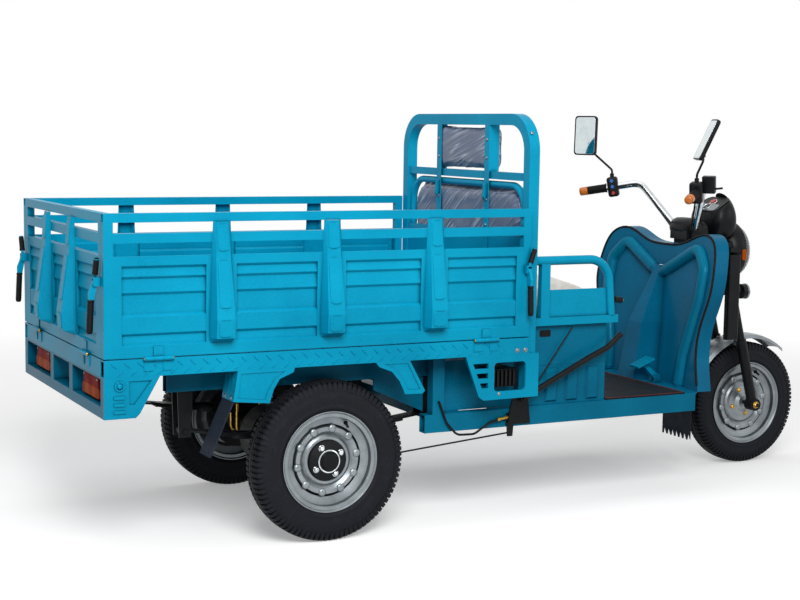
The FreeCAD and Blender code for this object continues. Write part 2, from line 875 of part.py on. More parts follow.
def backrest_arch():
    x = bed_front + arch_tube / 2
    side = back_arch_half_width - back_arch_radius
    foot = deck_bottom + 20
    ring = Part.Wire(Part.makeCircle(back_arch_radius, V(x, -side, foot), V(0, 0, 1)))
    return [arch_sweep(x, side, back_arch_top - back_arch_radius, foot, back_arch_bend, ring)]


def headboard_panel():
    x = bed_front
    inside = arch_half_width - arch_tube
    above = mid_rail_bottom + mid_rail_height
    pieces = [square_tube(x + 8, x + 32, -inside, inside, mid_rail_bottom, above, "y")]
    low = deck_bottom + 12
    high = arch_top - arch_tube
    half = bar_width / 2
    bar = box(x, x + bar_sheet, bar_y - half, bar_y + half, low, high)
    flange = box(x + bar_sheet, x + bar_flange, bar_y + half - bar_sheet, bar_y + half, above, high)
    hook_z = mid_rail_bottom - 14
    hook = slab_y([(x, hook_z), (x - 10, hook_z - 6), (x - 14, hook_z - 50), (x - 6, hook_z - 62),
                   (x, hook_z - 40)], bar_y - 6, bar_y + 6)
    pieces += both(fuse([bar, flange, hook]))
    sheet_x = x + bar_sheet
    sheet = box(sheet_x, sheet_x + 2, -inside, inside, low, head_sheet_top)
    ridges = []
    rise = 5
    wide = 14
    near = bar_y - 40
    far = bar_y + 40
    end = inside - 30
    for y0, y1 in ((-end, -far), (-near, -10), (10, near), (far, end)):
        for z0, z1 in ((low + 60, head_sheet_top - 40), (head_sheet_top - 40, low + 60)):
            start = V(sheet_x + 2, y0, z0)
            along = V(0, y1 - y0, z1 - z0)
            across = V(0, -along.z, along.y).normalize() * (wide / 2)
            section = [start - across, start + across, start + V(rise, 0, 0)]
            ridges.append(slab(section, along))
    pieces.append(fuse([sheet] + ridges))
    return pieces


def pad_ring(centre, half_width, depth, crown):
    """Closed outline of a pad's cross-section: flat back, bulging sides and a crowned face."""
    back = [centre + V(0, -half_width * 0.94, 0), centre + V(0, half_width * 0.94, 0)]
    edge = depth - crown
    left_low, right_low = back
    right_high = centre + V(edge, half_width * 0.93, 0)
    left_high = centre + V(edge, -half_width * 0.93, 0)
    return Part.Wire([
        Part.LineSegment(left_low, right_low).toShape(),
        Part.Arc(right_low, centre + V(edge / 2, half_width, 0), right_high).toShape(),
        Part.Arc(right_high, centre + V(depth, 0, 0), left_high).toShape(),
        Part.Arc(left_high, centre + V(edge / 2, -half_width, 0), left_low).toShape()])


def standing_pad(x, half_width, low, high, depth):
    """Pad that stands on its edge: back on a plane X = x, face forward, ends drawn in."""
    crown = depth * 0.28
    rings = []
    for share, wide, deep in ((0.0, 0.93, 0.72), (0.07, 0.985, 0.93), (0.5, 1.0, 1.0), (0.93, 0.985, 0.93),
                              (1.0, 0.93, 0.72)):
        centre = V(x, 0, low + (high - low) * share)
        rings.append(pad_ring(centre, half_width * wide, depth * deep, crown * deep))
    return Part.makeLoft(rings, True, False)


def head_pad():
    x = bed_front + bar_flange
    return [standing_pad(x, bar_y + 4, mid_rail_bottom + mid_rail_height + 6, arch_top - arch_tube - 6, 44)]


def back_pad():
    x = bed_front + arch_tube / 2 + back_arch_radius + 0.1
    return [standing_pad(x, back_arch_half_width - 22, 925, back_arch_top - 8, 62)]


def seat_cushion():
    length = arm_front - seat_box_rear + 8
    pad = standing_pad(0, seat_frame_y - arm_radius - 8, 0, length, cushion_height)
    pad.rotate(origin, V(0, 1, 0), -90)
    pad.translate(V(seat_box_rear + length + 4, 0, seat_box_top))
    return [pad]


def seat_box():
    side = seat_box_half_width
    w = seat_box_wall
    shell = box(seat_box_rear, seat_box_front, -side, side, floor_top, seat_box_top)
    inside = side - w
    room = box(seat_box_rear + w, seat_box_front - w, -inside, inside, floor_top - 1, seat_box_top - w)
    shell = shell.cut(room)
    crease_z = floor_top + 140
    crease = [(-side - 1, crease_z - 3), (-side - 1, crease_z + 3), (-side + 1, crease_z)]
    groove = slab_x(crease, seat_box_rear - 1, seat_box_front + 1)
    shell = shell.cut(Part.makeCompound(both(groove)))
    pads = []
    rise = 9
    foot = floor_top + 8
    head = floor_top + 128
    count = 3
    pitch = 88
    for i in range(count):
        x = seat_box_front - 56 - i * pitch
        base = Part.makePolygon([V(x - 26, -side, foot), V(x + 26, -side, foot), V(x + 26, -side, head),
                                 V(x - 26, -side, head), V(x - 26, -side, foot)])
        face = Part.makePolygon([V(x - 19, -side - rise, foot + 7), V(x + 19, -side - rise, foot + 7),
                                 V(x + 19, -side - rise, head - 7), V(x - 19, -side - rise, head - 7),
                                 V(x - 19, -side - rise, foot + 7)])
        pads += both(Part.makeLoft([base, face], True, True))
    return [fuse([shell] + pads)]


def armrests():
    y = seat_frame_y
    half = seat_bar_width / 2
    bar_top = seat_box_top + 11
    bar_low = bar_top - seat_bar_height
    front = arm_front + 26
    bar = square_tube(bed_front + arch_tube, front, -y - half, -y + half, bar_low, bar_top, "x")
    post_x = seat_box_rear + 42
    arm_z = arm_top - arm_radius
    rear = bed_front + arch_tube
    arm = round_sweep([V(rear, -y, arm_z), V(arm_front - 18, -y, arm_z), V(arm_front, -y, bar_top)],
                      arm_bend, arm_radius)
    post = box(post_x, post_x + 36, -y - half, -y + half, bar_top, arm_z)
    side_plate = box(post_x + 36, arm_front - arm_radius - 2, -y - 2, -y + 2, bar_top, bar_top + 98)
    bar_space = box(bed_front, front, -y - half, -y + half, bar_low, bar_top)
    upper = fuse([arm, post, side_plate]).cut(bar_space)
    return both(bar) + both(upper)


def batteries():
    wall_gap = 12
    height = 212
    width = 176
    gap = 8
    rear = seat_box_rear + wall_gap
    front = seat_box_front - wall_gap
    pieces = []
    for i in range(4):
        y = (i - 1.5) * (width + gap)
        pieces.append(box(rear, front, y - width / 2, y + width / 2, floor_top, floor_top + height))
    return pieces


def motor_controller():
    x = bed_front - 130
    low = deck_bottom - 118
    side = -half_bed
    body = box(x, x + 104, side + 40, side + 118, low, low + 62)
    fins = []
    for i in range(6):
        at = x + 6 + i * 16
        fins.append(box(at, at + 8, side + 30, side + 40, low + 4, low + 58))
    hanger = box(x + 40, x + 64, side + 76, side + 80, low + 62, deck_bottom)
    return [fuse([body] + fins + [hanger])]


# Leg shield

def shield_arc(shift):
    return Part.Arc(V(shield_foot_x + shift, 0, floor_top), V(shield_waist_x + shift, 0, shield_waist_z),
                    V(shield_top_x + shift, 0, shield_arc_top))


def shield_x(z, y):
    """Place along X of the shield's rear face at a height and a distance from the middle."""
    arc = shield_arc(0)
    line = Part.LineSegment(V(0, 0, z), V(3000, 0, z))
    middle = arc.toShape().distToShape(line.toShape())[1][0][0].x
    axis_x = shield_waist_x - shield_curve_radius
    return axis_x + math.sqrt((middle - axis_x) ** 2 - y ** 2)


def shield_layer(depth):
    """Skin of the shield, hollow towards the rider both ways, before the outline is cut."""
    near = shield_arc(0).toShape()
    far = shield_arc(depth).toShape()
    foot = Part.LineSegment(near.Vertexes[0].Point, far.Vertexes[0].Point).toShape()
    head = Part.LineSegment(near.Vertexes[1].Point, far.Vertexes[1].Point).toShape()
    face = Part.Face(Part.Wire(Part.__sortEdges__([near, head, far, foot])))
    swing = math.degrees(half_bed / shield_curve_radius)
    axis = V(shield_waist_x - shield_curve_radius, 0, 0)
    face.rotate(axis, V(0, 0, 1), -swing)
    return face.revolve(axis, V(0, 0, 1), 2 * swing)


def shield_outline(inset):
    """Butterfly outline drawn in by a distance: a dip, rounded wings, a waist and a wide foot."""
    right = [(0, shield_dip), (110, shield_dip + 8), (184, shield_top - 18), (262, shield_top),
             (332, shield_top - 24), (372, 850), (378, 748), (344, 630), (336, 540), (356, 450),
             (384, floor_top)]
    left = [(-y, z) for y, z in reversed(right[1:])]
    middle = V(0, 0, 660)
    points = []
    for y, z in left + right:
        arm = V(0, y, z) - middle
        points.append(middle + arm * (1 - inset / arm.Length))
    curve = Part.BSplineCurve()
    curve.interpolate(points)
    foot = Part.LineSegment(points[-1], points[0])
    return Part.Wire([curve.toShape(), foot.toShape()])


def shield_bead(points):
    path = [V(shield_x(z, y) + 2, y, z) for y, z in points]
    return round_sweep(path, bead_bend, bead_radius)


def shield_tunnel(top, inset):
    """Raised tunnel over the down tube, wide at the floor, dying out above; inset gives its hollow."""
    rings = []
    for share, half_width in ((0.0, tunnel_half_width), (0.5, tunnel_half_width * 0.8), (1.0, 22)):
        z = floor_top + (top - floor_top) * share
        back = shield_x(z, 0) + 1
        crest = back - (back - tunnel_foot_x) * (1 - share) ** 0.7 - 16 * share + inset
        back += 4 * inset
        half = half_width - inset
        ring = [V(back, -half, z), V(crest, -half * 0.72, z), V(crest, half * 0.72, z), V(back, half, z)]
        rings.append(Part.makePolygon(ring + ring[:1]))
    return Part.makeLoft(rings, True, True)


def leg_shield():
    length = V(400, 0, 0)
    start = V(shield_foot_x - 150, 0, 0)
    prism = Part.Face(shield_outline(0)).extrude(length)
    prism.translate(start)
    core = Part.Face(shield_outline(shield_sheet)).extrude(length)
    core.translate(start)
    skin = shield_layer(shield_sheet).common(prism)
    wrap = shield_layer(shield_wrap).common(prism).cut(core)
    loop = [(238, floor_top), (246, 500), (304, 720), (304, 838), (236, 912), (18, shield_node_z)]
    right = shield_bead([(-y, z) for y, z in loop])
    left = shield_bead(loop)
    ridge = shield_tunnel(shield_node_z + 30, 0)
    hollow = shield_tunnel(shield_node_z + 30, shield_sheet)
    shield = fuse([skin, wrap, left, right, ridge]).cut(hollow)
    below = box(shield_foot_x - 200, shield_foot_x + 200, -half_bed, half_bed, floor_top - 60, floor_top)
    return [shield.cut(below)]


# Controls on the chassis

def brake_pedal():
    pivot = V(pedal_pivot_x, pedal_y, pedal_pivot_z)
    half = pedal_hub / 2
    hub = rod(pivot - V(0, half, 0), pivot + V(0, half, 0), 12)
    head = V(pedal_pivot_x - 62, pedal_y, pedal_pivot_z + 58)
    arm = slab_y([(pivot.x - 4, pivot.z - 9), (pivot.x + 6, pivot.z + 8), (head.x + 8, head.z),
                  (head.x - 6, head.z - 8)], pedal_y - 6, pedal_y + 6)
    long = pedal_length / 2
    wide = pedal_width / 2
    pad = box(-long, long, -wide, wide, 0, 7)
    treads = [box(-long, long, wide * share, wide * share + 6, 7, 9) for share in (-0.8, -0.3, 0.2, 0.6)]
    pad = fuse([pad] + treads)
    pad.rotate(origin, V(0, 1, 0), -22)
    pad.translate(V(head.x, head.y, head.z - 4))
    bore = rod(pivot - V(0, half + 1, 0), pivot + V(0, half + 1, 0), pedal_pin_radius + running_clearance)
    return [fuse([hub, arm, pad]).cut(bore)]


def parking_brake_lever():
    pivot = V(lever_pivot_x, lever_y, lever_pivot_z)
    corners = [pivot + V(x, 0, z) for x, z in ((0, 0), (270, 128), (350, 162), (406, 208))]
    tube = round_sweep(corners, 60, lever_radius)
    hub = rod(pivot - V(0, 7, 0), pivot + V(0, 7, 0), 15)
    through = V(0, lever_radius + 2, 0)
    bore = rod(pivot - through, pivot + through, lever_pin_radius + running_clearance)
    return [fuse([tube, hub]).cut(bore)]


def parking_brake_bracket():
    """Plate on the sill with the lever's pivot pin and two cable stops below."""
    inner = -sill_y - sill_width / 2
    x = lever_pivot_x
    z = lever_pivot_z
    low = sill_bottom
    mount = slab_y([(x - 60, low + 8), (x + 40, low + 8), (x + 26, z + 20), (x - 26, z + 20)],
                   inner - plate, inner)
    pin = rod(V(x, inner, z), V(x, lever_y - 12, z), lever_pin_radius)
    stop = box(x - 60, x - 50, inner - 26, inner - plate, low + 20, low + 50)
    foot = low - drop_arm_reach
    drop_arm = slab_y([(drop_arm_x - 14, low + 20), (drop_arm_x + 14, low + 20), (drop_arm_x + 10, foot),
                       (drop_arm_x - 10, foot)], inner - plate, inner)
    return [fuse([mount, pin, stop, drop_arm])]


def brake_linkage():
    """Brake rod to the rear axle, parking brake cable and the thin cable down the seat box."""
    side = -sill_y - sill_width / 2 - 3
    rear = V(104, -304, 214)
    front = V(drop_arm_x, -sill_y - sill_width / 2 + 3.5, sill_bottom - drop_arm_reach + 12)
    brake_rod = rod(rear, front, 3)
    eye = rod(rear - V(0, 5, 0), rear + V(0, 5, 0), 8)
    route = [(lever_pivot_x - 60, -10, 36), (640, -10, 24), (580, -8, -14), (510, -8, -12), (470, -6, 34),
             (440, -4, 110)]
    cable = round_sweep([V(x, side + y, sill_bottom + z) for x, y, z in route], 40, 4)
    beside = -seat_box_half_width - 12
    thin = rod(V(985, beside, seat_box_top - 26), V(seat_box_rear, beside, sill_top + 30), 2.5)
    return [fuse([brake_rod, eye]), cable.cut(parking_brake_bracket()[0]), thin]


# Rear axle, springs and wheels

def axle_housing():
    reach = backplate_y
    profile = [(0, -reach - 10), (backplate_radius, -reach - 10), (backplate_radius, -reach + 2),
               (axle_tube_radius + 14, -reach + 2), (axle_tube_radius, -reach + 10), (axle_tube_radius, -120),
               (78, -92), (112, -50), (112, 50), (78, 92), (axle_tube_radius, 120),
               (axle_tube_radius, reach - 10), (axle_tube_radius + 14, reach - 2),
               (backplate_radius, reach - 2), (backplate_radius, reach + 10), (0, reach + 10)]
    centre = V(0, 0, rear_tyre_radius)
    body = turned(profile, centre)
    arms = []
    for side in (-1, 1):
        y = side * (reach - 14)
        y0, y1 = sorted((y, y + side * 8))
        arms.append(slab_y([(60, 250), (84, 250), (112, 204), (100, 196), (64, 226)], y0, y1))
    shaft = rod(V(0, -reach - 20, rear_tyre_radius), V(0, reach + 20, rear_tyre_radius),
                shaft_radius + running_clearance)
    return [fuse([body] + arms).cut(shaft)]


def drive_motor():
    x = 178
    z = rear_tyre_radius
    profile = [(0, -118), (70, -118), (78, -110), (92, -100), (92, 84), (78, 94), (60, 104), (0, 104)]
    can = turned(profile, V(x, 0, z))
    fins = [turned([(90, y), (97, y), (97, y + 6), (90, y + 6)], V(x, 0, z)) for y in range(-84, 70, 22)]
    body = fuse([can] + fins)
    diff = turned([(0, -121), (113, -121), (113, 121), (0, 121)], V(0, 0, z))
    return [body.cut(diff)]


def spring_arc(z_mid, half_length, camber, thickness):
    """Leaf of a spring as a bent strip in the XZ plane."""
    tip = z_mid + camber
    lower = Part.Arc(V(-half_length, 0, tip), V(0, 0, z_mid), V(half_length, 0, tip)).toShape()
    upper = lower.translated(V(0, 0, thickness))
    ends = [Part.LineSegment(lower.Vertexes[i].Point, upper.Vertexes[i].Point).toShape() for i in (0, 1)]
    face = Part.Face(Part.Wire(Part.__sortEdges__([lower, upper] + ends)))
    leaf = face.extrude(V(0, spring_width, 0))
    leaf.translate(V(0, -spring_width / 2, 0))
    return leaf


def leaf_spring():
    pad = rear_tyre_radius + axle_tube_radius + 0.5
    leaves = []
    bores = []
    stack = spring_leaves * spring_leaf
    for i in range(spring_leaves):
        share = (i + 1) / spring_leaves
        half_length = spring_half_length * share if i < spring_leaves - 1 else spring_half_length
        camber = spring_camber * (half_length / spring_half_length) ** 2
        leaves.append(spring_arc(pad + i * spring_leaf, half_length, camber, spring_leaf))
    eye_z = pad + stack - spring_leaf / 2 + spring_camber
    for x in (-spring_half_length, spring_half_length):
        leaves.append(rod(V(x, -spring_width / 2, eye_z), V(x, spring_width / 2, eye_z), 15))
        bores.append(rod(V(x, -spring_width, eye_z), V(x, spring_width, eye_z), eye_bore_radius))
    spring = fuse(leaves).cut(Part.makeCompound(bores))
    spring.translate(V(0, -spring_y, 0))
    return spring, eye_z


def leaf_springs():
    return both(leaf_spring()[0])


def spring_hangers():
    """Two cheeks and a bolt at each end of both springs."""
    eye_z = leaf_spring()[1]
    pieces = []
    cheek = 5
    gap = 1
    half = spring_width / 2 + gap
    top = rail_bottom
    for x in (-spring_half_length, spring_half_length):
        bolt = rod(V(x, -spring_y - half - cheek - 6, eye_z), V(x, -spring_y + half + cheek + 6, eye_z),
                   eye_bore_radius - fixed_fit)
        parts = [bolt]
        side = [(x - 20, eye_z - 20), (x + 20, eye_z - 20), (x + 26, top), (x - 26, top)]
        for y0 in (-spring_y - half - cheek, -spring_y + half):
            parts.append(slab_y(side, y0, y0 + cheek))
        pieces += both(fuse(parts))
    return pieces


def u_bolts():
    """Two U-bolts and a top plate clamp each spring to the axle."""
    pad_top = rear_tyre_radius + axle_tube_radius + 0.5 + spring_leaves * spring_leaf
    half = axle_tube_radius + 6
    radius = 5
    reach = spring_width / 2 + radius + 1
    parts = []
    for y in (-spring_y - reach, -spring_y + reach):
        low = rear_tyre_radius - axle_tube_radius - radius - 0.5
        ends = pad_top + 26
        corners = [V(-half, y, ends), V(-half, y, low), V(half, y, low), V(half, y, ends)]
        parts.append(round_sweep(corners, 30, radius))
    wide = reach + 10
    cover = box(-half - 12, half + 12, -spring_y - wide, -spring_y + wide, pad_top + 1, pad_top + 10)
    return both(fuse(parts + [cover]))


def tyre(radius, width, centre):
    half = width / 2
    seat = rim_seat_radius + 0.1
    widest = (radius + seat) / 2
    w = tyre_wall
    outer = [(seat, half * 0.80), (seat + 18, half * 0.86), (widest, half), (radius - 22, half * 0.96),
             (radius - 8, half * 0.82), (radius, half * 0.42)]
    inner = [(radius - w - 3, half * 0.4), (radius - 22 - w, half * 0.96 - w - 4), (widest, half - w),
             (seat, half * 0.80 - w)]
    far_outer = [(r, -y) for r, y in reversed(outer)]
    far_inner = [(r, -y) for r, y in reversed(inner)]
    return turned(outer + far_outer + far_inner + inner, centre)


def rim(width, disc_y, centre, disc_bore):
    """Pressed rim with a dropped well and a dished disc; the disc's outer face looks along -Y."""
    half = width * 0.40
    w = rim_wall
    seat = rim_seat_radius
    well = rim_well_radius
    lip = rim_flange_radius
    near_line = [(lip, half + 7), (lip - 4, half + 2), (seat, half), (seat - 2, half * 0.55),
                 (well, half * 0.32)]
    rim_line = near_line + [(r, -y) for r, y in reversed(near_line)]
    under = [(r - w, y * 0.995) for r, y in reversed(rim_line)]
    barrel = turned(rim_line + under, centre)
    disc_line = [(disc_bore, disc_y), (hub_cap_radius + 8, disc_y), (hub_cap_radius + 16, disc_y + 6),
                 (well - 26, disc_y - 3), (well - 12, disc_y - 3), (well - w, disc_y + 14)]
    back = [(r, y + w) for r, y in reversed(disc_line)]
    disc = turned(disc_line + back, centre)
    pockets = []
    for i in range(disc_dimples):
        angle = math.radians(360 * i / disc_dimples + 9)
        at = centre + V(math.cos(angle) * (well - 17), disc_y - 6, math.sin(angle) * (well - 17))
        pockets.append(Part.makeSphere(10, at))
    disc = disc.cut(Part.makeCompound(pockets))
    return fuse([barrel, disc])


def rear_wheel():
    """Tyre, rim and hub of the right rear wheel."""
    centre = V(0, -rear_wheel_y, rear_tyre_radius)
    rubber = tyre(rear_tyre_radius, rear_tyre_width, centre)
    disc_y = -14
    bore = shaft_radius + 10
    wheel = rim(rear_tyre_width, disc_y, centre, bore + fixed_fit)
    back = rear_wheel_y - backplate_y - 10.5
    inside = drum_radius - 8
    face = disc_y - disc_fit
    rear_face = disc_y + rim_wall + disc_fit
    drum = [(0, disc_y - 26), (26, disc_y - 26), (30, disc_y - 20), (hub_cap_radius - 4, disc_y - 8),
            (hub_cap_radius, face), (bore, face), (bore, rear_face), (hub_cap_radius + 6, rear_face),
            (hub_cap_radius + 14, disc_y + 13), (drum_radius, disc_y + 13), (drum_radius, back),
            (inside, back), (inside, disc_y + 24), (shaft_radius, disc_y + 24), (shaft_radius, back + 200),
            (0, back + 200)]
    hub = turned(drum, centre)
    nuts = []
    for i in range(wheel_nuts):
        angle = math.radians(360 * i / wheel_nuts + 30)
        at = centre + V(math.cos(angle) * wheel_nut_circle, disc_y - 9, math.sin(angle) * wheel_nut_circle)
        nut = rod(at + V(0, 4, 0), at - V(0, 4, 0), wheel_nut_radius)
        dome = Part.makeSphere(wheel_nut_radius, at - V(0, 4, 0))
        nuts += [nut, dome]
    hub = fuse([hub] + nuts)
    return rubber, wheel, hub


def front_wheel():
    centre = V(wheelbase, 0, front_tyre_radius)
    rubber = tyre(front_tyre_radius, front_tyre_width, centre)
    disc_y = -16
    neck = 27
    wheel = rim(front_tyre_width, disc_y, centre, neck + fixed_fit)
    bore = fork_axle_radius + running_clearance
    face = disc_y - disc_fit
    rear_face = disc_y + rim_wall + disc_fit
    hub_line = [(bore, -30), (26, -30), (40, -21), (64, face), (neck, face), (neck, rear_face),
                (74, rear_face), (86, -2), (86, 36), (70, 44), (bore, 48)]
    hub = turned(hub_line, centre)
    return rubber, wheel, hub


# Steering, drawn straight ahead

def steering_plate(anchor, away):
    """Fork plate square to the steering axis, holding the stem and both legs."""
    base = anchor + away * 2
    ahead = V(math.cos(math.radians(rake)), 0, math.sin(math.radians(rake)))
    behind = base - ahead * 34
    middle = base + ahead * leg_offset
    front = base + ahead * (leg_offset + 26)
    side = V(0, guard_inner_y, 0)
    waist = V(0, 40, 0)
    return slab([behind - waist, middle - side, front - side, front + side, middle + side, behind + waist],
                away * fork_plate)


def steering_stem():
    low = axis_point(head_tube_low)
    high = axis_point(head_tube_high)
    stem = rod(low - axis_dir * 30, high + axis_dir * 36, stem_radius)
    plates = [steering_plate(low, -axis_dir), steering_plate(high, axis_dir)]
    legs = [rod(leg_point(slider_top - 110, y), leg_point(head_tube_high + 30, y), stanchion_radius)
            for y in (-leg_y, leg_y)]
    side = bar_clamp_y - 14
    riser = box(bar_clamp_x - 24, head_x - 10, -side, side, head_tube_high + 20, bar_clamp_z + 17)
    body = fuse([stem] + plates + legs + [riser])
    return [body.cut(handlebar()[0])]


def fork_guards():
    """Two upright channel guards outside the fork legs, held by the fork plates."""
    inner = guard_inner_y
    outer = inner + guard_width
    wall = guard_wall
    guard = box(guard_rear, guard_front, -outer, -inner, guard_bottom, guard_top)
    long_edges = [e for e in guard.Edges if e.BoundBox.ZLength > 100 and e.BoundBox.YMax < -inner - 1]
    guard = guard.makeFillet(7, long_edges)
    rear = guard_rear + wall
    front = guard_front - wall
    guard = guard.cut(box(rear, front, -outer + wall, -inner + 1, guard_bottom - 1, guard_top - wall))
    spacers = [box(rear, front, -outer + wall, -inner, z, z + 16)
               for z in (head_tube_low - fork_plate, head_tube_high + 2)]
    return both(fuse([guard] + spacers))


def horn():
    back = V(horn_x, horn_y, horn_z)
    shell = rod(back, back + V(horn_depth, 0, 0), horn_radius)
    shell = shell.makeFillet(8, shell.Edges[:1])
    stub = rod(back + V(-horn_stub, 0, 8), back + V(1, 0, 4), 8)
    return [fuse([shell, stub]).cut(steering_stem()[0])]


def flipped(point):
    return V(point.x, -point.y, point.z)


def handlebar_points():
    right = [bar_end_right, bar_bend_right, bar_clamp_right]
    return right + [flipped(p) for p in reversed(right)]


def handlebar():
    return [round_sweep(handlebar_points(), bar_bend, bar_radius)]


def along_grip(distance):
    return bar_end_right + grip_dir * distance


def on_grip(shape, distance):
    """Move a shape from its own frame (X along the bar, Y to the rider, Z up) on to the right grip."""
    moved = shape.copy()
    turn = FreeCAD.Rotation(grip_dir, grip_rear, grip_up, "XYZ")
    moved.Placement = FreeCAD.Placement(along_grip(distance), turn).multiply(moved.Placement)
    return moved


def cable_points():
    """Corners of the right cable's run, beside the bar from the switch housing to the column cover."""
    away = bar_radius + cable_gap + cable_radius
    start = along_grip(cluster_at + cluster_length - 2) + grip_rear * away
    return [start, bar_bend_right + grip_rear * away, bar_clamp_right + V(-away, 0, 0)]


def control_cables():
    cable = round_sweep(cable_points(), cable_bend, cable_radius)
    return both(cable.cut(on_grip(housing_block(), cluster_at)))


def column_cover():
    """Moulded cap over the bar's clamp, open below, with slots for the bar and the cables."""
    half = cover_half_width
    x0 = bar_clamp_x - 36
    x1 = head_x - 4
    cover = box(x0, x1, -half, half, cover_low, cover_high)
    soft = [e for e in cover.Edges if e.BoundBox.ZMin > cover_low + 1 or e.BoundBox.ZLength > 40]
    cover = cover.makeFillet(24, soft)
    wall = cover_wall
    inside = half - wall
    cover = cover.cut(box(x0 + wall, x1 - wall, -inside, inside, cover_low - 1, cover_high - 12))
    slot = round_sweep(handlebar_points()[1:-1], bar_bend, bar_radius + 3)
    grooves = both(round_sweep(cable_points(), cable_bend, cable_radius + 1))
    return [cover.cut(Part.makeCompound([slot] + grooves))]


def housing_block():
    block = box(0, cluster_length, -24, 26, cluster_low, cluster_high)
    return block.makeFillet(11, block.Edges)


def button_pocket(height, radius, low, high):
    return rod(V(cluster_length / 2, low, height), V(cluster_length / 2, high, height), radius)


def mirror_turn(side):
    pitch = mirror_pitch_left if side > 0 else mirror_pitch_right
    tilt = FreeCAD.Rotation(V(0, 1, 0), pitch)
    return FreeCAD.Rotation(V(0, 0, 1), side * mirror_yaw).multiply(tilt)


def mirror_centre(side):
    return V(mirror_x, side * mirror_y, mirror_z if side > 0 else mirror_z - mirror_drop_right)


def mirror_hub(side):
    offset = V(mirror_depth / 2 + 9, -side * (mirror_width / 2 - 18), -mirror_height / 2 + 32)
    return mirror_centre(side) + mirror_turn(side).multVec(offset)


def mirror(side):
    plate_shape = box(-mirror_depth / 2, mirror_depth / 2, -mirror_width / 2, mirror_width / 2,
                      -mirror_height / 2, mirror_height / 2)
    corners = [e for e in plate_shape.Edges if abs(e.BoundBox.XLength - mirror_depth) < 0.1]
    plate_shape = plate_shape.makeFillet(15, corners)
    back = [e for e in plate_shape.Edges if e.BoundBox.XMin > mirror_depth / 2 - 0.1]
    plate_shape = plate_shape.makeFillet(6, back)
    plate_shape.Placement = FreeCAD.Placement(mirror_centre(side), mirror_turn(side))
    hub = mirror_hub(side)
    reach = V(0, 0, mirror_hub_length / 2)
    socket = rod(hub - reach, hub + reach, stalk_radius + 4)
    bore = rod(hub - reach * 2, hub + reach - V(0, 0, 4), stalk_radius + running_clearance)
    return [fuse([plate_shape, socket]).cut(bore)]


def stalk(side):
    foot = along_grip(cluster_at + cluster_length / 2) + grip_up * (cluster_high - 6)
    if side > 0:
        foot = flipped(foot)
    hub = mirror_hub(side)
    nut = rod(foot, foot + V(0, 0, 20), stalk_radius + 4)
    reach = mirror_hub_length / 2
    points = [foot, foot + V(0, 0, stalk_rise), hub - V(0, 0, reach + stalk_neck), hub + V(0, 0, reach - 5)]
    return fuse([round_sweep(points, stalk_bend, stalk_radius), nut])


def brake_perch():
    """Clamp round the bar with a reservoir block ahead of it and the cable's stop."""
    x0 = perch_at
    x1 = perch_at + perch_length
    ring = rod(V(x0, 0, 0), V(x1 - 6, 0, 0), bar_radius + perch_wall)
    block = box(x0, x1, -perch_reach, -bar_radius - 3, -8, perch_high)
    block = block.makeFillet(4, block.Edges)
    stop = rod(V(x1 - 10, -perch_reach + 4, 8), V(x1 - 10, -perch_reach - 26, 12), 4)
    return fuse([ring, block, stop])


def hand_controls():
    """Switch housings with the mirror stalks on them, the brake perch on the right and the left grip."""
    hole = rod(along_grip(0), along_grip(cluster_at + 90), bar_radius + fixed_fit)
    housing = on_grip(housing_block(), cluster_at)
    pockets = [on_grip(button_pocket(z, button_radius + 0.3, 14, 30), cluster_at) for z in button_heights]
    right = housing.cut(hole)
    left = mirrored(right.cut(Part.makeCompound(pockets)))
    pieces = [fuse([right, stalk(-1)]), fuse([left, stalk(1)])]
    pieces.append(on_grip(brake_perch(), cluster_at).cut(hole))
    sleeve = rod(along_grip(-6), along_grip(grip_length), grip_radius)
    pieces.append(mirrored(sleeve.cut(hole)))
    return pieces


def cluster_button(height):
    return [mirrored(on_grip(button_pocket(height, button_radius, 17, 30), cluster_at))]


def throttle_grip():
    grip = rod(along_grip(-6), along_grip(grip_length), grip_radius)
    bore = rod(along_grip(0), along_grip(cluster_at + 90), bar_radius + running_clearance)
    return [grip.cut(bore)]


def ellipse_loft(sections):
    rings = [ellipse_ring(V(x, 0, z), half_y, half_z) for x, z, half_y, half_z in sections]
    return Part.makeLoft(rings, True, False)


def nacelle_egg():
    """Egg through five upright ellipses, each a share of the length, half width and half height."""
    sections = []
    for along, rise, wide, tall in ((0.0, -6, 0.6, 0.42), (0.19, 0, 0.9, 0.77), (0.53, 3, 1.0, 1.0),
                                    (0.82, 0, 0.97, 1.0), (1.0, -10, 0.81, 0.83)):
        x = nacelle_rear + nacelle_length * along
        sections.append((x, nacelle_z + rise, nacelle_half_width * wide, nacelle_half_height * tall))
    return ellipse_loft(sections)


def nacelle_form():
    """Egg-shaped headlamp nacelle cut by the sloping instrument face and flat underneath."""
    far = panel_low - panel_dir * 40
    top = panel_low + panel_dir * (panel_length + 6)
    up = panel_normal * 90
    wide = nacelle_half_width * 2
    over = slab_y([(p.x, p.z) for p in (far, top, top + up, far + up)], -wide, wide)
    below = nacelle_z - 2 * nacelle_half_height
    under = box(nacelle_rear - 20, nacelle_rear + 2 * nacelle_length, -wide, wide, below, nacelle_bottom)
    return nacelle_egg().cut(over).cut(under)


def nacelle():
    pocket = rod(switch_foot - panel_normal * 12, switch_foot + panel_normal * 10, switch_radius + 0.3)
    panel_high = panel_low + panel_dir * panel_length
    side = V(0, panel_half_width, 0)
    face = slab([panel_low - side, panel_low + side, panel_high + side, panel_high - side], panel_normal * 4)
    return [nacelle_form().cut(pocket), face.common(nacelle_egg()).cut(pocket)]


def nacelle_switch():
    return [rod(switch_foot - panel_normal * 6, switch_foot + panel_normal * 12, switch_radius)]


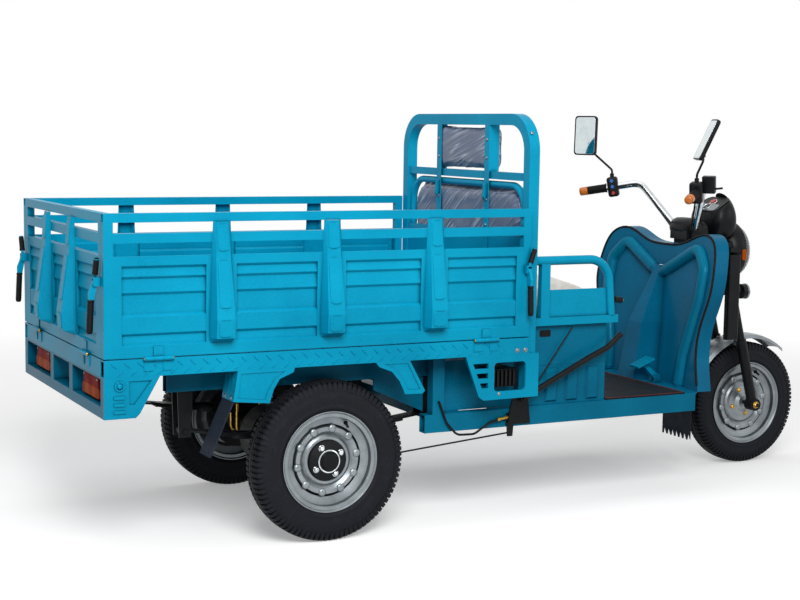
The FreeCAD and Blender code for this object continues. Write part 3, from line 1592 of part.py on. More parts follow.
def headlamp_housing():
    x = headlamp_rear
    z = headlamp_z
    wide = headlamp_half_width
    tall = headlamp_half_height
    form = ellipse_loft([(x, z + 6, wide - 27, tall - 27), (x + 0.42 * headlamp_depth, z, wide - 5, tall - 5),
                         (x + headlamp_depth, z, wide, tall)])
    return [form.cut(nacelle_form()).cut(steering_stem()[0])]


def headlamp_lens():
    x = headlamp_rear + headlamp_depth
    z = headlamp_z
    wide = headlamp_half_width
    tall = headlamp_half_height
    form = ellipse_loft([(x, z, wide - 4, tall - 5), (x + 0.52 * lens_depth, z - 2, wide - 13, tall - 16),
                         (x + lens_depth, z - 6, wide * 0.53, tall * 0.54)])
    return [form.cut(nacelle_form())]


def fork_sliders():
    """Lower fork legs with the axle across them."""
    shapes = []
    bores = []
    for y in (-leg_y, leg_y):
        shapes.append(rod(leg_point(front_tyre_radius, y), leg_point(slider_top, y), slider_radius))
        bores.append(rod(leg_point(slider_top - 190, y), leg_point(slider_top + 10, y),
                         stanchion_radius + running_clearance))
        shapes.append(rod(V(wheelbase, y - lug_half_length, front_tyre_radius),
                          V(wheelbase, y + lug_half_length, front_tyre_radius), lug_radius))
    centre = V(wheelbase, 0, front_tyre_radius)
    reach = V(0, leg_y + 32, 0)
    axle = rod(centre - reach, centre + reach, fork_axle_radius)
    return [fuse(shapes + [axle]).cut(Part.makeCompound(bores))]


def front_fender():
    """Curved guard over the tyre with two side tabs to the sliders."""
    centre = V(wheelbase, 0, front_tyre_radius)
    r = front_tyre_radius + fender_gap
    half = fender_half_width
    t = fender_sheet
    section = [(r - 16, half), (r - 4, half * 0.8), (r, half * 0.3), (r, -half * 0.3), (r - 4, -half * 0.8),
               (r - 16, -half), (r - 16 + t, -half), (r - 4 + t, -half * 0.8), (r + t, -half * 0.3),
               (r + t, half * 0.3), (r - 4 + t, half * 0.8), (r - 16 + t, half)]
    wire = Part.makePolygon([centre + V(radius, y, 0) for radius, y in section + section[:1]])
    shell = Part.Face(wire).revolve(centre, V(0, -1, 0), fender_rear_angle - fender_front_angle)
    shell.rotate(centre, V(0, -1, 0), fender_front_angle)
    seat = leg_point(slider_top - 14, 0)
    tab = box(seat.x - 12, seat.x + 12, half - 2, leg_y - slider_radius + 4, seat.z - 12, seat.z + 12)
    return [fuse([shell] + both(tab)).cut(fork_sliders()[0])]


os.makedirs("parts", exist_ok=True)
save("chassis_frame", chassis_frame())
save("front_frame", front_frame())
save("cargo_deck", cargo_deck())
save("floor_pan", floor_pan())
save("floor_mat", floor_mat())
save("panel_hinges", panel_hinges())
side_panel = [on_right(shape) for shape in side_panel_pieces()]
save("side_panel_right", side_panel)
save("side_panel_left", [mirrored(shape) for shape in side_panel])
save("tailgate", [on_rear(shape) for shape in tailgate_pieces()])
front_latch = on_right(latch_lever(side_length - post_width / 2))
save("latch_front_right", [front_latch])
save("latch_front_left", [mirrored(front_latch)])
save("latch_rear_left", [on_rear(latch_lever(post_width / 2))])
save("latch_rear_right", [on_rear(latch_lever(gate_length - post_width / 2))])
save("rear_lamp_frame", rear_bumper_frame())
save("tail_lamps", tail_lamps())
save("side_skirts", skirts_and_brackets())
save("mud_flaps", mud_flaps())
save("headboard_arch", headboard_arch())
save("headboard_rails", headboard_panel() + backrest_arch())
save("head_pad", head_pad())
save("back_pad", back_pad())
save("seat_cushion", seat_cushion())
save("seat_box", seat_box())
save("armrests", armrests())
save("batteries_and_controller", batteries() + motor_controller())
save("leg_shield", leg_shield())
save("brake_pedal", brake_pedal())
save("parking_brake_lever", parking_brake_lever())
save("brake_linkage", parking_brake_bracket() + brake_linkage())
save("leaf_springs", leaf_springs())
save("spring_hangers", spring_hangers())
save("axle_housing", axle_housing())
save("drive_motor", drive_motor())
save("u_bolts", u_bolts())
for name, shape in zip(("rear_tyre", "rear_rim", "rear_hub"), rear_wheel()):
    save(name + "_right", [shape])
    save(name + "_left", [mirrored(shape)])
rubber, wheel, hub = front_wheel()
save("front_tyre", [rubber])
save("front_rim", [wheel, hub])
save("steering_stem", steering_stem())
save("fork_guards", fork_guards() + horn())
save("handlebar", handlebar())
save("control_cables", control_cables())
save("column_cover", column_cover())
save("hand_controls", hand_controls())
save("throttle_grip", throttle_grip())
for name, height in zip(("button_upper", "button_middle", "button_lower"), button_heights):
    save(name, cluster_button(height))
save("nacelle", nacelle())
save("nacelle_switch", nacelle_switch())
save("headlamp_housing", headlamp_housing())
save("headlamp_lens", headlamp_lens())
save("fork_sliders", fork_sliders())
save("front_fender", front_fender())
save("mirror_left", mirror(1))
save("mirror_right", mirror(-1))
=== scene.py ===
import bmesh
import bpy
import json
import math
from mathutils import Matrix, Vector, noise
from mathutils.bvhtree import BVHTree


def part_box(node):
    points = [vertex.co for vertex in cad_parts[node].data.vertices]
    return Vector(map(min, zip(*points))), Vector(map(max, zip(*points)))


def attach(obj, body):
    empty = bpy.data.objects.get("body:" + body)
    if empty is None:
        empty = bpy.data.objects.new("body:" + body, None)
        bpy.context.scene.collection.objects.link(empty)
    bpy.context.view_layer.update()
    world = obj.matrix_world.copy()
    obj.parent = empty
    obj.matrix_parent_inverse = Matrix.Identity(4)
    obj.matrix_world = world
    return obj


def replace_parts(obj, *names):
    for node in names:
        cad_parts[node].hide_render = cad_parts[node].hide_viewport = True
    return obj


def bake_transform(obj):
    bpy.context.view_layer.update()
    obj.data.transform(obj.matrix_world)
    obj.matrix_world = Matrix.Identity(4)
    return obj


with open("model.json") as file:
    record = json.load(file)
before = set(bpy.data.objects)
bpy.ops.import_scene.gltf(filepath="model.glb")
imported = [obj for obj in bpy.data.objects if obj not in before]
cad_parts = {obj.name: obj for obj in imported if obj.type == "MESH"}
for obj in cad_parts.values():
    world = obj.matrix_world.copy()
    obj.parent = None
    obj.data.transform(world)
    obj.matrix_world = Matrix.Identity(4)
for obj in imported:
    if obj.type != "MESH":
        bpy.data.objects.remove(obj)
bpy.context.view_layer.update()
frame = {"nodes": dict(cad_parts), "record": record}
nodes = frame["nodes"]
scene = bpy.context.scene

# Places are in millimetres from the ground under the rear axle: x ahead, y to the left, z up
axle_low, axle_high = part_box("rear_tyre_right")
MIDDLE_X = -500 * (axle_low.x + axle_high.x)
SIDES = ((-1, "right"), (1, "left"))
RIM_SEAT = 152.5
REAR_WHEEL_Y = 440
REAR_RADIUS = 266
FRONT_WHEEL = (2080, 0, 250)
HALF_BED = 500
BED_REAR = -760
BED_FRONT = 740
DECK_EDGE = (588, 641)
PANEL_BOTTOM = 647
PANEL_TOP = 1087
TOP_RAIL = 28
SIDE_STAKE_X = (-385, -10, 365)
GATE_STAKE_Y = (-150, 150)
HINGE_PIN_Z = 643.5
SIDE_HINGE_X = (-590, 566)
GATE_HINGE_Y = 300
HINGE_PIN_REACH = 47.5
HINGE_PIN_OUT = 7.5
TAIL_LAMP_Y = 300
LATCH_HOOK_Z = 890
LATCH_GRIP_Z = 825
SEAT_BOX_VENT = (877, 383, 637)
ARM_STOP = (1158, 396, 750)
GRIP_END = (1509, 358, 1105)
GRIP_RUN = (183, -153, 41)
BAR_BEND = (1692, 205, 1146)
BAR_CLAMP = (1775, 60, 968)
INSTRUMENT_LOW = (1859, 0, 1038)
INSTRUMENT_TILT = 33
GAUGE_AHEAD = 26
SWITCH_AHEAD = 62
NEEDLE_ANGLE = 2.0
HEADLAMP = (2005, 0, 880)
HORN = (2010, -62, 716)
MIRROR_CENTRE = {"left": (1551, 400, 1335), "right": (1551, -400, 1327)}
MIRROR_YAW_PITCH = {"left": (25, 2), "right": (-25, 24)}
MIRROR_DEPTH = 16
SHIELD_MIDDLE = (0, 660)
BEFORE_SHIELD = 1200
AHEAD = (1, 0, 0)
UP = (0, 0, 1)

# Each wheel's name, middle, outer side and body
WHEELS = [(name, (0, side * REAR_WHEEL_Y, REAR_RADIUS), side, "rear_wheel_" + name) for side, name in SIDES]
WHEELS.append(("front", FRONT_WHEEL, -1, "front_wheel"))

CAMERA_PLACE = (-2056, -5000, 1353)
CAMERA_YAW_PITCH_ROLL = (27.0, 6.34, 0.88)
FOCAL_PIXELS = 1544.7
PHOTO_WIDTH = 800
SENSOR_WIDTH = 36


def place(x, y, z):
    """A place on the drawing as a point of the frame, in metres."""
    return Vector((x - MIDDLE_X, y, z)) / 1000


# Materials

# A wave texture's scale for one wave in a metre
ONE_WAVE = math.pi / 10


def linear(code):
    """Linear colour of an sRGB hex value."""
    channels = []
    for i in (1, 3, 5):
        c = int(code[i:i + 2], 16) / 255
        channels.append(c / 12.92 if c <= 0.04045 else ((c + 0.055) / 1.055) ** 2.4)
    return (*channels, 1.0)


def per_mm(size):
    """How often a pattern comes in a metre if it repeats after a size in millimetres."""
    return 1000 / size


def add(tree, kind, links=(), stops=(), to=None, **settings):
    """One node: links are (socket, source socket) pairs, stops a colour ramp's (place, hex or grey) pairs and
    settings its properties or input sockets by name. Its first output goes to a socket, if one is given."""
    node = tree.nodes.new(kind)
    for name, value in settings.items():
        if hasattr(node, name):
            setattr(node, name, value)
    for name, value in settings.items():
        if not hasattr(node, name):
            node.inputs[name.replace("_", " ")].default_value = value
    if stops:
        elements = node.color_ramp.elements
        for _ in stops[2:]:
            elements.new(0.5)
        for element, (at, colour) in zip(elements, stops):
            element.position = at
            element.color = linear(colour) if isinstance(colour, str) else (colour, colour, colour, 1)
    for socket, source in links:
        tree.links.new(source, node.inputs[socket])
    if to is not None:
        tree.links.new(node.outputs[0], to)
    return node


def material(name, **sockets):
    """New material, its node tree and its shader, with the shader's sockets set by name."""
    made = bpy.data.materials.new(name)
    made.use_nodes = True
    shader = made.node_tree.nodes["Principled BSDF"]
    for socket, value in sockets.items():
        shader.inputs[socket.replace("_", " ")].default_value = value
    return made, made.node_tree, shader


def surface(name, colours, rough, patch, grain, lift, edge, shade_reach=40, **sockets):
    """Base of every finish: colour and roughness that vary in patches, a fine grain and eased edges.

    Patch and grain are the spacing of the variations in millimetres, lift is the grain's height, edge the
    radius that sharp edges seem to have; painted shade from ambient occlusion darkens the colour in
    a hollow as far as its reach. Returns the material and what a finish may add to.
    """
    made, tree, shader = material(name, **sockets)
    xyz = add(tree, "ShaderNodeTexCoord").outputs["Object"]
    cloud = add(tree, "ShaderNodeTexNoise", [("Vector", xyz)], Scale=per_mm(patch), Detail=4.0).outputs["Fac"]
    fine = add(tree, "ShaderNodeTexNoise", [("Vector", xyz)], Scale=per_mm(grain), Detail=2.0).outputs["Fac"]
    mixed = add(tree, "ShaderNodeMix", [("A", cloud), ("B", fine)], Factor=0.4)
    colour = add(tree, "ShaderNodeValToRGB", [("Fac", mixed.outputs["Result"])],
                 stops=list(zip((0.32, 0.5, 0.68), colours)))
    # Painted shade: ambient occlusion, multiplied into the colour, darkens hollows and inner corners.
    hollow = add(tree, "ShaderNodeAmbientOcclusion", samples=6, only_local=True, Distance=shade_reach / 1000)
    shade = add(tree, "ShaderNodeValToRGB", [("Fac", hollow.outputs["AO"])], stops=[(0.4, 0.3), (0.95, 1.0)])
    shaded_colour = add(tree, "ShaderNodeMix", [(6, colour.outputs["Color"]), (7, shade.outputs["Color"])],
                data_type="RGBA", blend_type="MULTIPLY", Factor=1.0)
    tree.links.new(shaded_colour.outputs[2], shader.inputs["Base Color"])
    add(tree, "ShaderNodeValToRGB", [("Fac", cloud)], [(0.3, rough[0]), (0.7, rough[1])],
        to=shader.inputs["Roughness"])
    eased = add(tree, "ShaderNodeBevel", Radius=edge / 1000, samples=6)
    add(tree, "ShaderNodeBump", [("Height", fine), ("Normal", eased.outputs["Normal"])],
        to=shader.inputs["Normal"], Distance=lift / 1000)
    return made, tree, shader, xyz


def blue_enamel(name, colours, shade_reach):
    """Blue stoving enamel, sprayed: fine flake, faint orange peel and thin clear coat, with painted shade
    darkening its hollows.
    """
    return surface(name, colours, (0.26, 0.36), patch=260, grain=4, lift=0.03, edge=1.6, shade_reach=shade_reach,
                   Metallic=0.06, Specular_IOR_Level=0.04, Coat_Weight=0.03, Coat_Roughness=0.05)[0]


def satin_black_enamel():
    """Chassis black, sprayed thin: satin, with an uneven film and a little road dust."""
    return surface("satin_black_enamel", ("#0a0b0d", "#101214", "#18191b"), (0.34, 0.5),
                   patch=45, grain=5, lift=0.08, edge=1.2, Specular_IOR_Level=0.14)[0]


def silver_wheel_enamel():
    """Aluminium-flake wheel enamel on pressed steel: fine bright grain and a soft sheen."""
    return surface("silver_wheel_enamel", ("#767d81", "#878e92", "#9aa0a3"), (0.30, 0.44),
                   patch=60, grain=2.5, lift=0.04, edge=1.4, Metallic=0.85, Coat_Weight=0.1,
                   Coat_Roughness=0.2)[0]


def plated_metal(name, dark, light, rough, streak):
    """Plated or drawn metal: metallic, with drawing streaks along X that vary its brightness."""
    made, tree, shader, xyz = surface(
        name, (dark, dark, light), (rough * 0.8, rough * 1.3), patch=30, grain=3, lift=0.01, edge=0.6,
        Metallic=1.0)
    stretch = add(tree, "ShaderNodeMapping", [("Vector", xyz)], Scale=(0.15, 1, 1))
    drawn = add(tree, "ShaderNodeTexNoise", [("Vector", stretch.outputs["Vector"])], Scale=per_mm(streak),
                Detail=3.0)
    add(tree, "ShaderNodeValToRGB", [("Fac", drawn.outputs["Fac"])], [(0.3, dark), (0.7, light)],
        to=shader.inputs["Base Color"])
    return made


def grained_black_abs():
    """Injection-moulded black ABS with a fine leather-like mould grain."""
    return surface("grained_black_abs", ("#0a0b0d", "#0f1013", "#16181b"), (0.3, 0.42),
                   patch=70, grain=2.2, lift=0.1, edge=1.0, Specular_IOR_Level=0.16)[0]


def rubber(name, dark, light, grain):
    """Moulded rubber: matt, with a faint grey bloom and a soft skin."""
    return surface(name, (dark, dark, light), (0.5, 0.7), patch=38, grain=grain, lift=0.12, edge=0.8,
                   Specular_IOR_Level=0.15)[0]


def waved_mat_rubber():
    """Floor mat of dark rubber that lies in low slanting waves, with brown dust in patches."""
    made, tree, shader, xyz = surface(
        "waved_mat_rubber", ("#0c1114", "#12191c", "#1f1b1b"), (0.5, 0.75), patch=80, grain=9,
        lift=0.2, edge=0.8, Specular_IOR_Level=0.12)
    waves = add(tree, "ShaderNodeTexWave", [("Vector", xyz)], bands_direction="DIAGONAL",
                Scale=per_mm(106.6) * ONE_WAVE * math.sqrt(2))
    add(tree, "ShaderNodeBump", [("Height", waves.outputs["Fac"])], to=shader.inputs["Normal"],
        Distance=0.0012)
    return made


def vinyl_in_film(name, colours, fold):
    """Grained vinyl still in clear packing film: pale lines along the film's raised folds are painted
    highlights, the fold colour mixed into the base colour.
    """
    made, tree, shader, _ = surface(
        name, colours, (0.42, 0.55), patch=120, grain=3, lift=0.1, edge=1.0, Coat_Weight=0.5,
        Coat_Roughness=0.12)
    base = shader.inputs["Base Color"].links[0].from_socket
    # Painted highlight: the fold attribute mixes the pale fold colour into the base colour.
    height = add(tree, "ShaderNodeAttribute", attribute_name="fold")
    share = add(tree, "ShaderNodeValToRGB", [("Fac", height.outputs["Fac"])], stops=[(0.1, 0.0), (0.9, 0.7)])
    mixed = add(tree, "ShaderNodeMix", [("Factor", share.outputs["Color"]), (6, base)], data_type="RGBA")
    mixed.inputs[7].default_value = linear(fold)
    tree.links.new(mixed.outputs[2], shader.inputs["Base Color"])
    return made


def lamp_plastic(name, dark, light, flute, rough, **sockets):
    """Moulded lamp plastic, tinted in the mass, with broad upright flutes a number of millimetres apart."""
    made, tree, shader, xyz = surface(
        name, (dark, dark, light), (rough, rough * 1.6), patch=30, grain=6, lift=0.01, edge=0.8, **sockets)
    flutes = add(tree, "ShaderNodeTexWave", [("Vector", xyz)], bands_direction="Y",
                 Scale=per_mm(flute) * ONE_WAVE).outputs["Fac"]
    add(tree, "ShaderNodeValToRGB", [("Fac", flutes)], [(0.2, dark), (0.8, light)],
        to=shader.inputs["Base Color"])
    add(tree, "ShaderNodeBump", [("Height", flutes)], to=shader.inputs["Normal"], Distance=0.0004)
    return made


def gloss_plastic(name, dark, light):
    """Small gloss-moulded plastic part, or printed ink, with faint handling marks."""
    return surface(name, (dark, dark, light), (0.2, 0.36), patch=12, grain=3, lift=0.02, edge=0.6,
                   Coat_Weight=0.2, Coat_Roughness=0.1)[0]


def silvered_glass():
    """Mirror glass, silvered on the back: bright, with a breath of dust."""
    return surface("silvered_glass", ("#c6d2d4", "#d2dcde", "#dde4e5"), (0.015, 0.05),
                   patch=40, grain=8, lift=0.0, edge=0.3, Metallic=1.0)[0]


FINISH = {
    "blue": blue_enamel("gloss_blue_enamel", ("#0384a8", "#0693b8", "#0a9ec2"), 14),
    # Painted shade: a darker copy of the body blue, for the frame, box, floor pan, lamp frame, splash sheet
    # and shield ribs.
    "deep": blue_enamel("thin_blue_enamel", ("#045f7e", "#066d8e", "#087a9a"), 24),
    # Painted shade: the leg shield's blue is darker still, for the shade that falls on it.
    "shield": blue_enamel("shield_blue_enamel", ("#025474", "#046286", "#067096"), 40),
    "black": satin_black_enamel(),
    "silver": silver_wheel_enamel(),
    "steel": plated_metal("drawn_steel", "#6f7172", "#9a9b9b", 0.34, 6),
    "zinc": plated_metal("yellow_zinc_plate", "#8f7330", "#c4a454", 0.3, 5),
    "chrome": plated_metal("bright_chrome_plate", "#b9bfc2", "#dfe3e4", 0.07, 14),
    "bolt": plated_metal("bright_zinc_plate", "#6b6e70", "#94979a", 0.3, 4),
    "alloy": plated_metal("cast_aluminium", "#7c7f81", "#a0a2a3", 0.45, 9),
    "abs": grained_black_abs(),
    "mat": waved_mat_rubber(),
    "mat_edge": rubber("red_brown_rubber", "#4a2022", "#6b3231", 5),
    "rubber": rubber("moulded_black_rubber", "#0a0a0b", "#141415", 4),
    "flap": rubber("slate_rubber", "#1b2431", "#2a3646", 5),
    "tyre": rubber("tyre_rubber", "#121419", "#1f222a", 6),
    # The last colour of each vinyl is its painted highlight along the film's folds.
    "vinyl": vinyl_in_film("slate_vinyl_in_film", ("#3c4963", "#4b5a77", "#5d6e8c"), "#c4ccd8"),
    "cream": vinyl_in_film("cream_vinyl_in_film", ("#c9c3b4", "#d4cfc2", "#dedacf"), "#eeebe4"),
    "red_lens": lamp_plastic("red_acrylic", "#780d0a", "#931712", 75.4, 0.35, Specular_IOR_Level=0.02),
    "amber_lens": lamp_plastic("amber_acrylic", "#96380c", "#b34d14", 75.4, 0.35, Specular_IOR_Level=0.02),
    "clear_lens": lamp_plastic("clear_polycarbonate", "#e8eef0", "#f7fafa", 88, 0.06, IOR=1.49,
                               Transmission_Weight=0.92, Coat_Weight=0.4, Coat_Roughness=0.03),
    "blue_key": gloss_plastic("blue_nylon", "#1a5fb4", "#2f7fd6"),
    "red_key": gloss_plastic("red_nylon", "#b01f22", "#d4393a"),
    "orange_cap": gloss_plastic("orange_nylon", "#c9660c", "#ee8f26"),
    "white_ink": gloss_plastic("white_dial_ink", "#c8cccc", "#dcdede"),
    "mirror": silvered_glass(),
}

SLOT_FINISH = {
    "body_paint": "blue", "black_paint": "black", "silver_paint": "silver", "bare_steel": "steel",
    "yellow_zinc": "zinc", "chrome_plate": "chrome", "motor_alloy": "alloy", "black_plastic": "abs",
    "mat_rubber": "mat", "black_rubber": "rubber", "tyre_rubber": "tyre", "pad_vinyl": "vinyl",
    "red_lens": "red_lens", "clear_lens": "clear_lens", "blue_plastic": "blue_key", "red_plastic": "red_key",
}

# The slot that a new piece of each finish belongs to
FINISH_SLOT = {finish: slot for slot, finish in SLOT_FINISH.items()}
FINISH_SLOT.update(deep="body_paint", bolt="bare_steel", cream="pad_vinyl", amber_lens="red_lens",
                   orange_cap="red_plastic", mat_edge="mat_rubber", white_ink="silver_paint",
                   mirror="chrome_plate")

# Nodes whose finish differs from their slot's: the frame, box, floor pan and lamp frame take a darker blue of
# painted shade, the leg shield a still darker one, the latches are blue
NODE_FINISH = {
    "chassis_frame": "deep", "front_frame": "deep", "floor_pan": "deep", "seat_box": "deep",
    "rear_lamp_frame": "deep", "leg_shield": "shield", "brake_linkage": "black", "mud_flaps": "flap",
    "latch_front_right": "blue", "latch_front_left": "blue", "latch_rear_right": "blue",
    "latch_rear_left": "blue",
}


def dress_frame():
    """Give each node of the frame the finish of its slot, or the one named for it."""
    for part in frame["record"]["subparts"]:
        name = part["node"]
        finish = NODE_FINISH.get(name, SLOT_FINISH[part["material_slot"]])
        nodes[name].data.materials.clear()
        nodes[name].data.materials.append(FINISH[finish])


# Making meshes

def mesh_of(bm, name="mesh"):
    """Plain mesh of what was built, which is freed."""
    mesh = bpy.data.meshes.new(name)
    bm.to_mesh(mesh)
    bm.free()
    return mesh


def outward_mesh(bm):
    """Plain mesh of closed forms, with every face turned outwards."""
    bmesh.ops.recalc_face_normals(bm, faces=bm.faces)
    return mesh_of(bm)


def piece(name, mesh, finish, body="chassis"):
    """Show a mesh, already in its place, as a piece that rides on a body, or on none yet."""
    mesh.name = name
    mesh.materials.clear()
    mesh.materials.append(FINISH[finish])
    for face in mesh.polygons:
        face.use_smooth = True
    mesh.set_sharp_from_angle(angle=math.radians(38))
    shown = bpy.data.objects.new(name, mesh)
    scene.collection.objects.link(shown)
    if body:
        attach(shown, body)
    return shown


def baked(shown):
    """Plain mesh of an object with its modifiers done."""
    return bpy.data.meshes.new_from_object(shown.evaluated_get(bpy.context.evaluated_depsgraph_get()))


def joined(meshes):
    """One mesh in place of several."""
    bm = bmesh.new()
    for mesh in meshes:
        bm.from_mesh(mesh)
        bpy.data.meshes.remove(mesh)
    return mesh_of(bm)


def turned(outline, turns, ring=False):
    """Outline of (radius, height) in millimetres turned about Z; a ring's outline closes on itself."""
    bm = bmesh.new()
    rows = []
    for i in range(turns):
        c, s = math.cos(2 * math.pi * i / turns), math.sin(2 * math.pi * i / turns)
        rows.append([bm.verts.new(Vector((r * c, r * s, h)) / 1000) for r, h in outline])
    last = len(outline) if ring else len(outline) - 1
    for a, b in zip(rows, rows[1:] + rows[:1]):
        for j in range(last):
            k = (j + 1) % len(outline)
            bm.faces.new((a[j], a[k], b[k], b[j]))
    bmesh.ops.remove_doubles(bm, verts=bm.verts, dist=1e-6)
    return outward_mesh(bm)


def stood(mesh, at, axis):
    """Move a mesh made about Z to a place, with its Z along an axis."""
    turn = Vector(axis).to_track_quat("Z", "Y").to_matrix().to_4x4()
    mesh.transform(Matrix.Translation(place(*at)) @ turn)
    return mesh


def turned_piece(name, outline, turns, at, axis, finish, body="chassis", ring=False):
    """Piece of an outline turned about an axis that starts at a place."""
    return piece(name, stood(turned(outline, turns, ring), at, axis), finish, body)


def stacked(bm, rings):
    """Faces of a closed form through rings that have as many points each."""
    for low, high in zip(rings, rings[1:]):
        for j in range(len(low)):
            k = (j + 1) % len(low)
            bm.faces.new((low[j], low[k], high[k], high[j]))
    bm.faces.new(list(reversed(rings[0])))
    bm.faces.new(rings[-1])


def plate(centre, across, up, size, corner, thick):
    """Plate with round corners and a chamfered face, its back on a place and its face along across x up."""
    u = Vector(across).normalized()
    v = Vector(up).normalized()
    out = u.cross(v)
    chamfer = min(1.0, thick / 2)
    steps = 5
    bm = bmesh.new()
    rings = []
    for inset, height in ((0, 0), (0, thick - chamfer), (chamfer, thick)):
        ring = []
        for quarter, (side, rise) in enumerate(((1, 1), (-1, 1), (-1, -1), (1, -1))):
            for step in range(steps + 1):
                angle = math.pi / 2 * (quarter + step / steps)
                a = side * (size[0] / 2 - corner) + (corner - inset) * math.cos(angle)
                b = rise * (size[1] / 2 - corner) + (corner - inset) * math.sin(angle)
                ring.append(bm.verts.new(place(*(Vector(centre) + u * a + v * b + out * height))))
        rings.append(ring)
    stacked(bm, rings)
    return outward_mesh(bm)


def rounded(corners, bend, closed=False):
    """Points of the frame along a line through corners, each eased by a bend of a radius in millimetres."""
    line = []
    for i, corner in enumerate(corners):
        if not closed and i in (0, len(corners) - 1):
            line.append(corner)
            continue
        before, after = corners[i - 1], corners[(i + 1) % len(corners)]
        ease = bend / 1000 * math.tan((corner - before).angle(after - corner) / 2)
        start = corner + (before - corner).normalized() * ease
        end = corner + (after - corner).normalized() * ease
        for step in range(9):
            t = step / 8
            line.append(start.lerp(corner, t).lerp(corner.lerp(end, t), t))
    return line


def tube(points, radius, cyclic=False):
    """Round bar of a radius in millimetres along points of the frame."""
    curve = bpy.data.curves.new("tube", "CURVE")
    curve.dimensions = "3D"
    curve.bevel_depth = radius / 1000
    curve.bevel_resolution = 4
    curve.use_fill_caps = not cyclic
    line = curve.splines.new("POLY")
    line.points.add(len(points) - 1)
    for point, at in zip(line.points, points):
        point.co = (*at, 1)
    line.use_cyclic_u = cyclic
    maker = bpy.data.objects.new("tube", curve)
    mesh = bpy.data.meshes.new_from_object(maker)
    bpy.data.objects.remove(maker)
    return mesh


def skin_of(node):
    """Surface of a node, for finding where lines meet it."""
    mesh = nodes[node].data
    return BVHTree.FromPolygons([v.co for v in mesh.vertices], [tuple(p.vertices) for p in mesh.polygons])


def met(skin, at, way):
    """Point of the frame where a line from a place first meets a node's skin, or None."""
    return skin.ray_cast(place(*at), Vector(way))[0]


# What repeats: a pattern round an axle or along an edge, and fastener heads on points

def repeat_tree(name, inputs, build):
    """Node tree with named inputs whose copies, made by build, are realised and take the finish."""
    tree = bpy.data.node_groups.new(name, "GeometryNodeTree")
    tree.interface.new_socket("Geometry", in_out="INPUT", socket_type="NodeSocketGeometry")
    sockets = {}
    for label, kind in (*inputs, ("Finish", "NodeSocketMaterial")):
        sockets[label] = tree.interface.new_socket(label, in_out="INPUT", socket_type=kind).identifier
    tree.interface.new_socket("Geometry", in_out="OUTPUT", socket_type="NodeSocketGeometry")
    given = add(tree, "NodeGroupInput").outputs
    copies = build(tree, given)
    real = add(tree, "GeometryNodeRealizeInstances", [("Geometry", copies.outputs["Instances"])])
    dressed = add(tree, "GeometryNodeSetMaterial",
                  [("Geometry", real.outputs["Geometry"]), ("Material", given["Finish"])])
    add(tree, "NodeGroupOutput", [("Geometry", dressed.outputs["Geometry"])])
    return tree, sockets


def copies_in_steps(tree, given):
    """Copies of the mesh, each moved and turned by one step more than the one before."""
    line = add(tree, "GeometryNodeMeshLine", [("Count", given["Count"]), ("Offset", given["Move"])])
    index = add(tree, "GeometryNodeInputIndex").outputs[0]
    turn = add(tree, "ShaderNodeVectorMath", [(0, given["Turn"]), ("Scale", index)], operation="SCALE")
    return add(tree, "GeometryNodeInstanceOnPoints",
               [("Points", line.outputs["Mesh"]), ("Instance", given["Geometry"]),
                ("Rotation", turn.outputs[0])])


def copies_on_points(tree, given):
    """Copies of the head, each along the facing of its point."""
    facing = add(tree, "GeometryNodeInputNamedAttribute", data_type="FLOAT_VECTOR", Name="facing")
    turn = add(tree, "FunctionNodeAlignRotationToVector", [("Vector", facing.outputs["Attribute"])], axis="Z")
    head = add(tree, "GeometryNodeObjectInfo", [("Object", given["Head"])])
    return add(tree, "GeometryNodeInstanceOnPoints",
               [("Points", given["Geometry"]), ("Instance", head.outputs["Geometry"]),
                ("Rotation", turn.outputs["Rotation"]), ("Scale", given["Size"])])


STEPS = repeat_tree("repeat_in_steps", (("Count", "NodeSocketInt"), ("Move", "NodeSocketVector"),
                                        ("Turn", "NodeSocketVector")), copies_in_steps)
HEADS = repeat_tree("fastener_heads", (("Head", "NodeSocketObject"), ("Size", "NodeSocketFloat")),
                    copies_on_points)


def repeated(mesh, kind, finish, **inputs):
    """Plain mesh of what a node tree makes from a mesh."""
    tree, sockets = kind
    maker = bpy.data.objects.new("maker", mesh)
    scene.collection.objects.link(maker)
    rule = maker.modifiers.new("repeat", "NODES")
    rule.node_group = tree
    rule[sockets["Finish"]] = FINISH[finish]
    for name, value in inputs.items():
        rule[sockets[name]] = value
    made = baked(maker)
    bpy.data.objects.remove(maker)
    return made


def hexagon_bolt():
    """Chamfered hexagon head on a washer; its corners are ten millimetres from its middle."""
    head = turned([(0, 1.5), (10, 1.5), (10, 6.5), (8.6, 7.6), (0, 7.6)], 6)
    washer = turned([(0, 0), (13, 0), (13, 1.2), (12.4, 1.7), (0, 1.7)], 20)
    return joined([head, washer])


def domed_nut():
    """Acorn nut on its flange, eleven millimetres in radius."""
    outline = [(0, 0), (11, 0), (11, 1), (9.2, 1.8), (8.9, 4), (8.2, 6.4), (6, 8.6), (3, 9.5), (0, 9.8)]
    return turned(outline, 18)


def pan_screw():
    """Low domed screw head, ten millimetres in radius; its cross is too small to show."""
    return turned([(0, 0), (10, 0), (9.6, 1.6), (7.5, 3.4), (4, 4.4), (0, 4.7)], 16)


def heads(name, head, spots, size, finish, body="chassis"):
    """One piece of fastener heads; spots are (place, facing) pairs."""
    points = bpy.data.meshes.new(name)
    points.from_pydata([place(*at) for at, way in spots], [], [])
    facing = points.attributes.new("facing", "FLOAT_VECTOR", "POINT")
    for item, (at, way) in zip(facing.data, spots):
        item.vector = way
    model = bpy.data.objects.new("head", head)
    scene.collection.objects.link(model)
    made = repeated(points, HEADS, finish, Head=model, Size=size)
    bpy.data.objects.remove(model)
    return piece(name, made, finish, body)


# Wheels

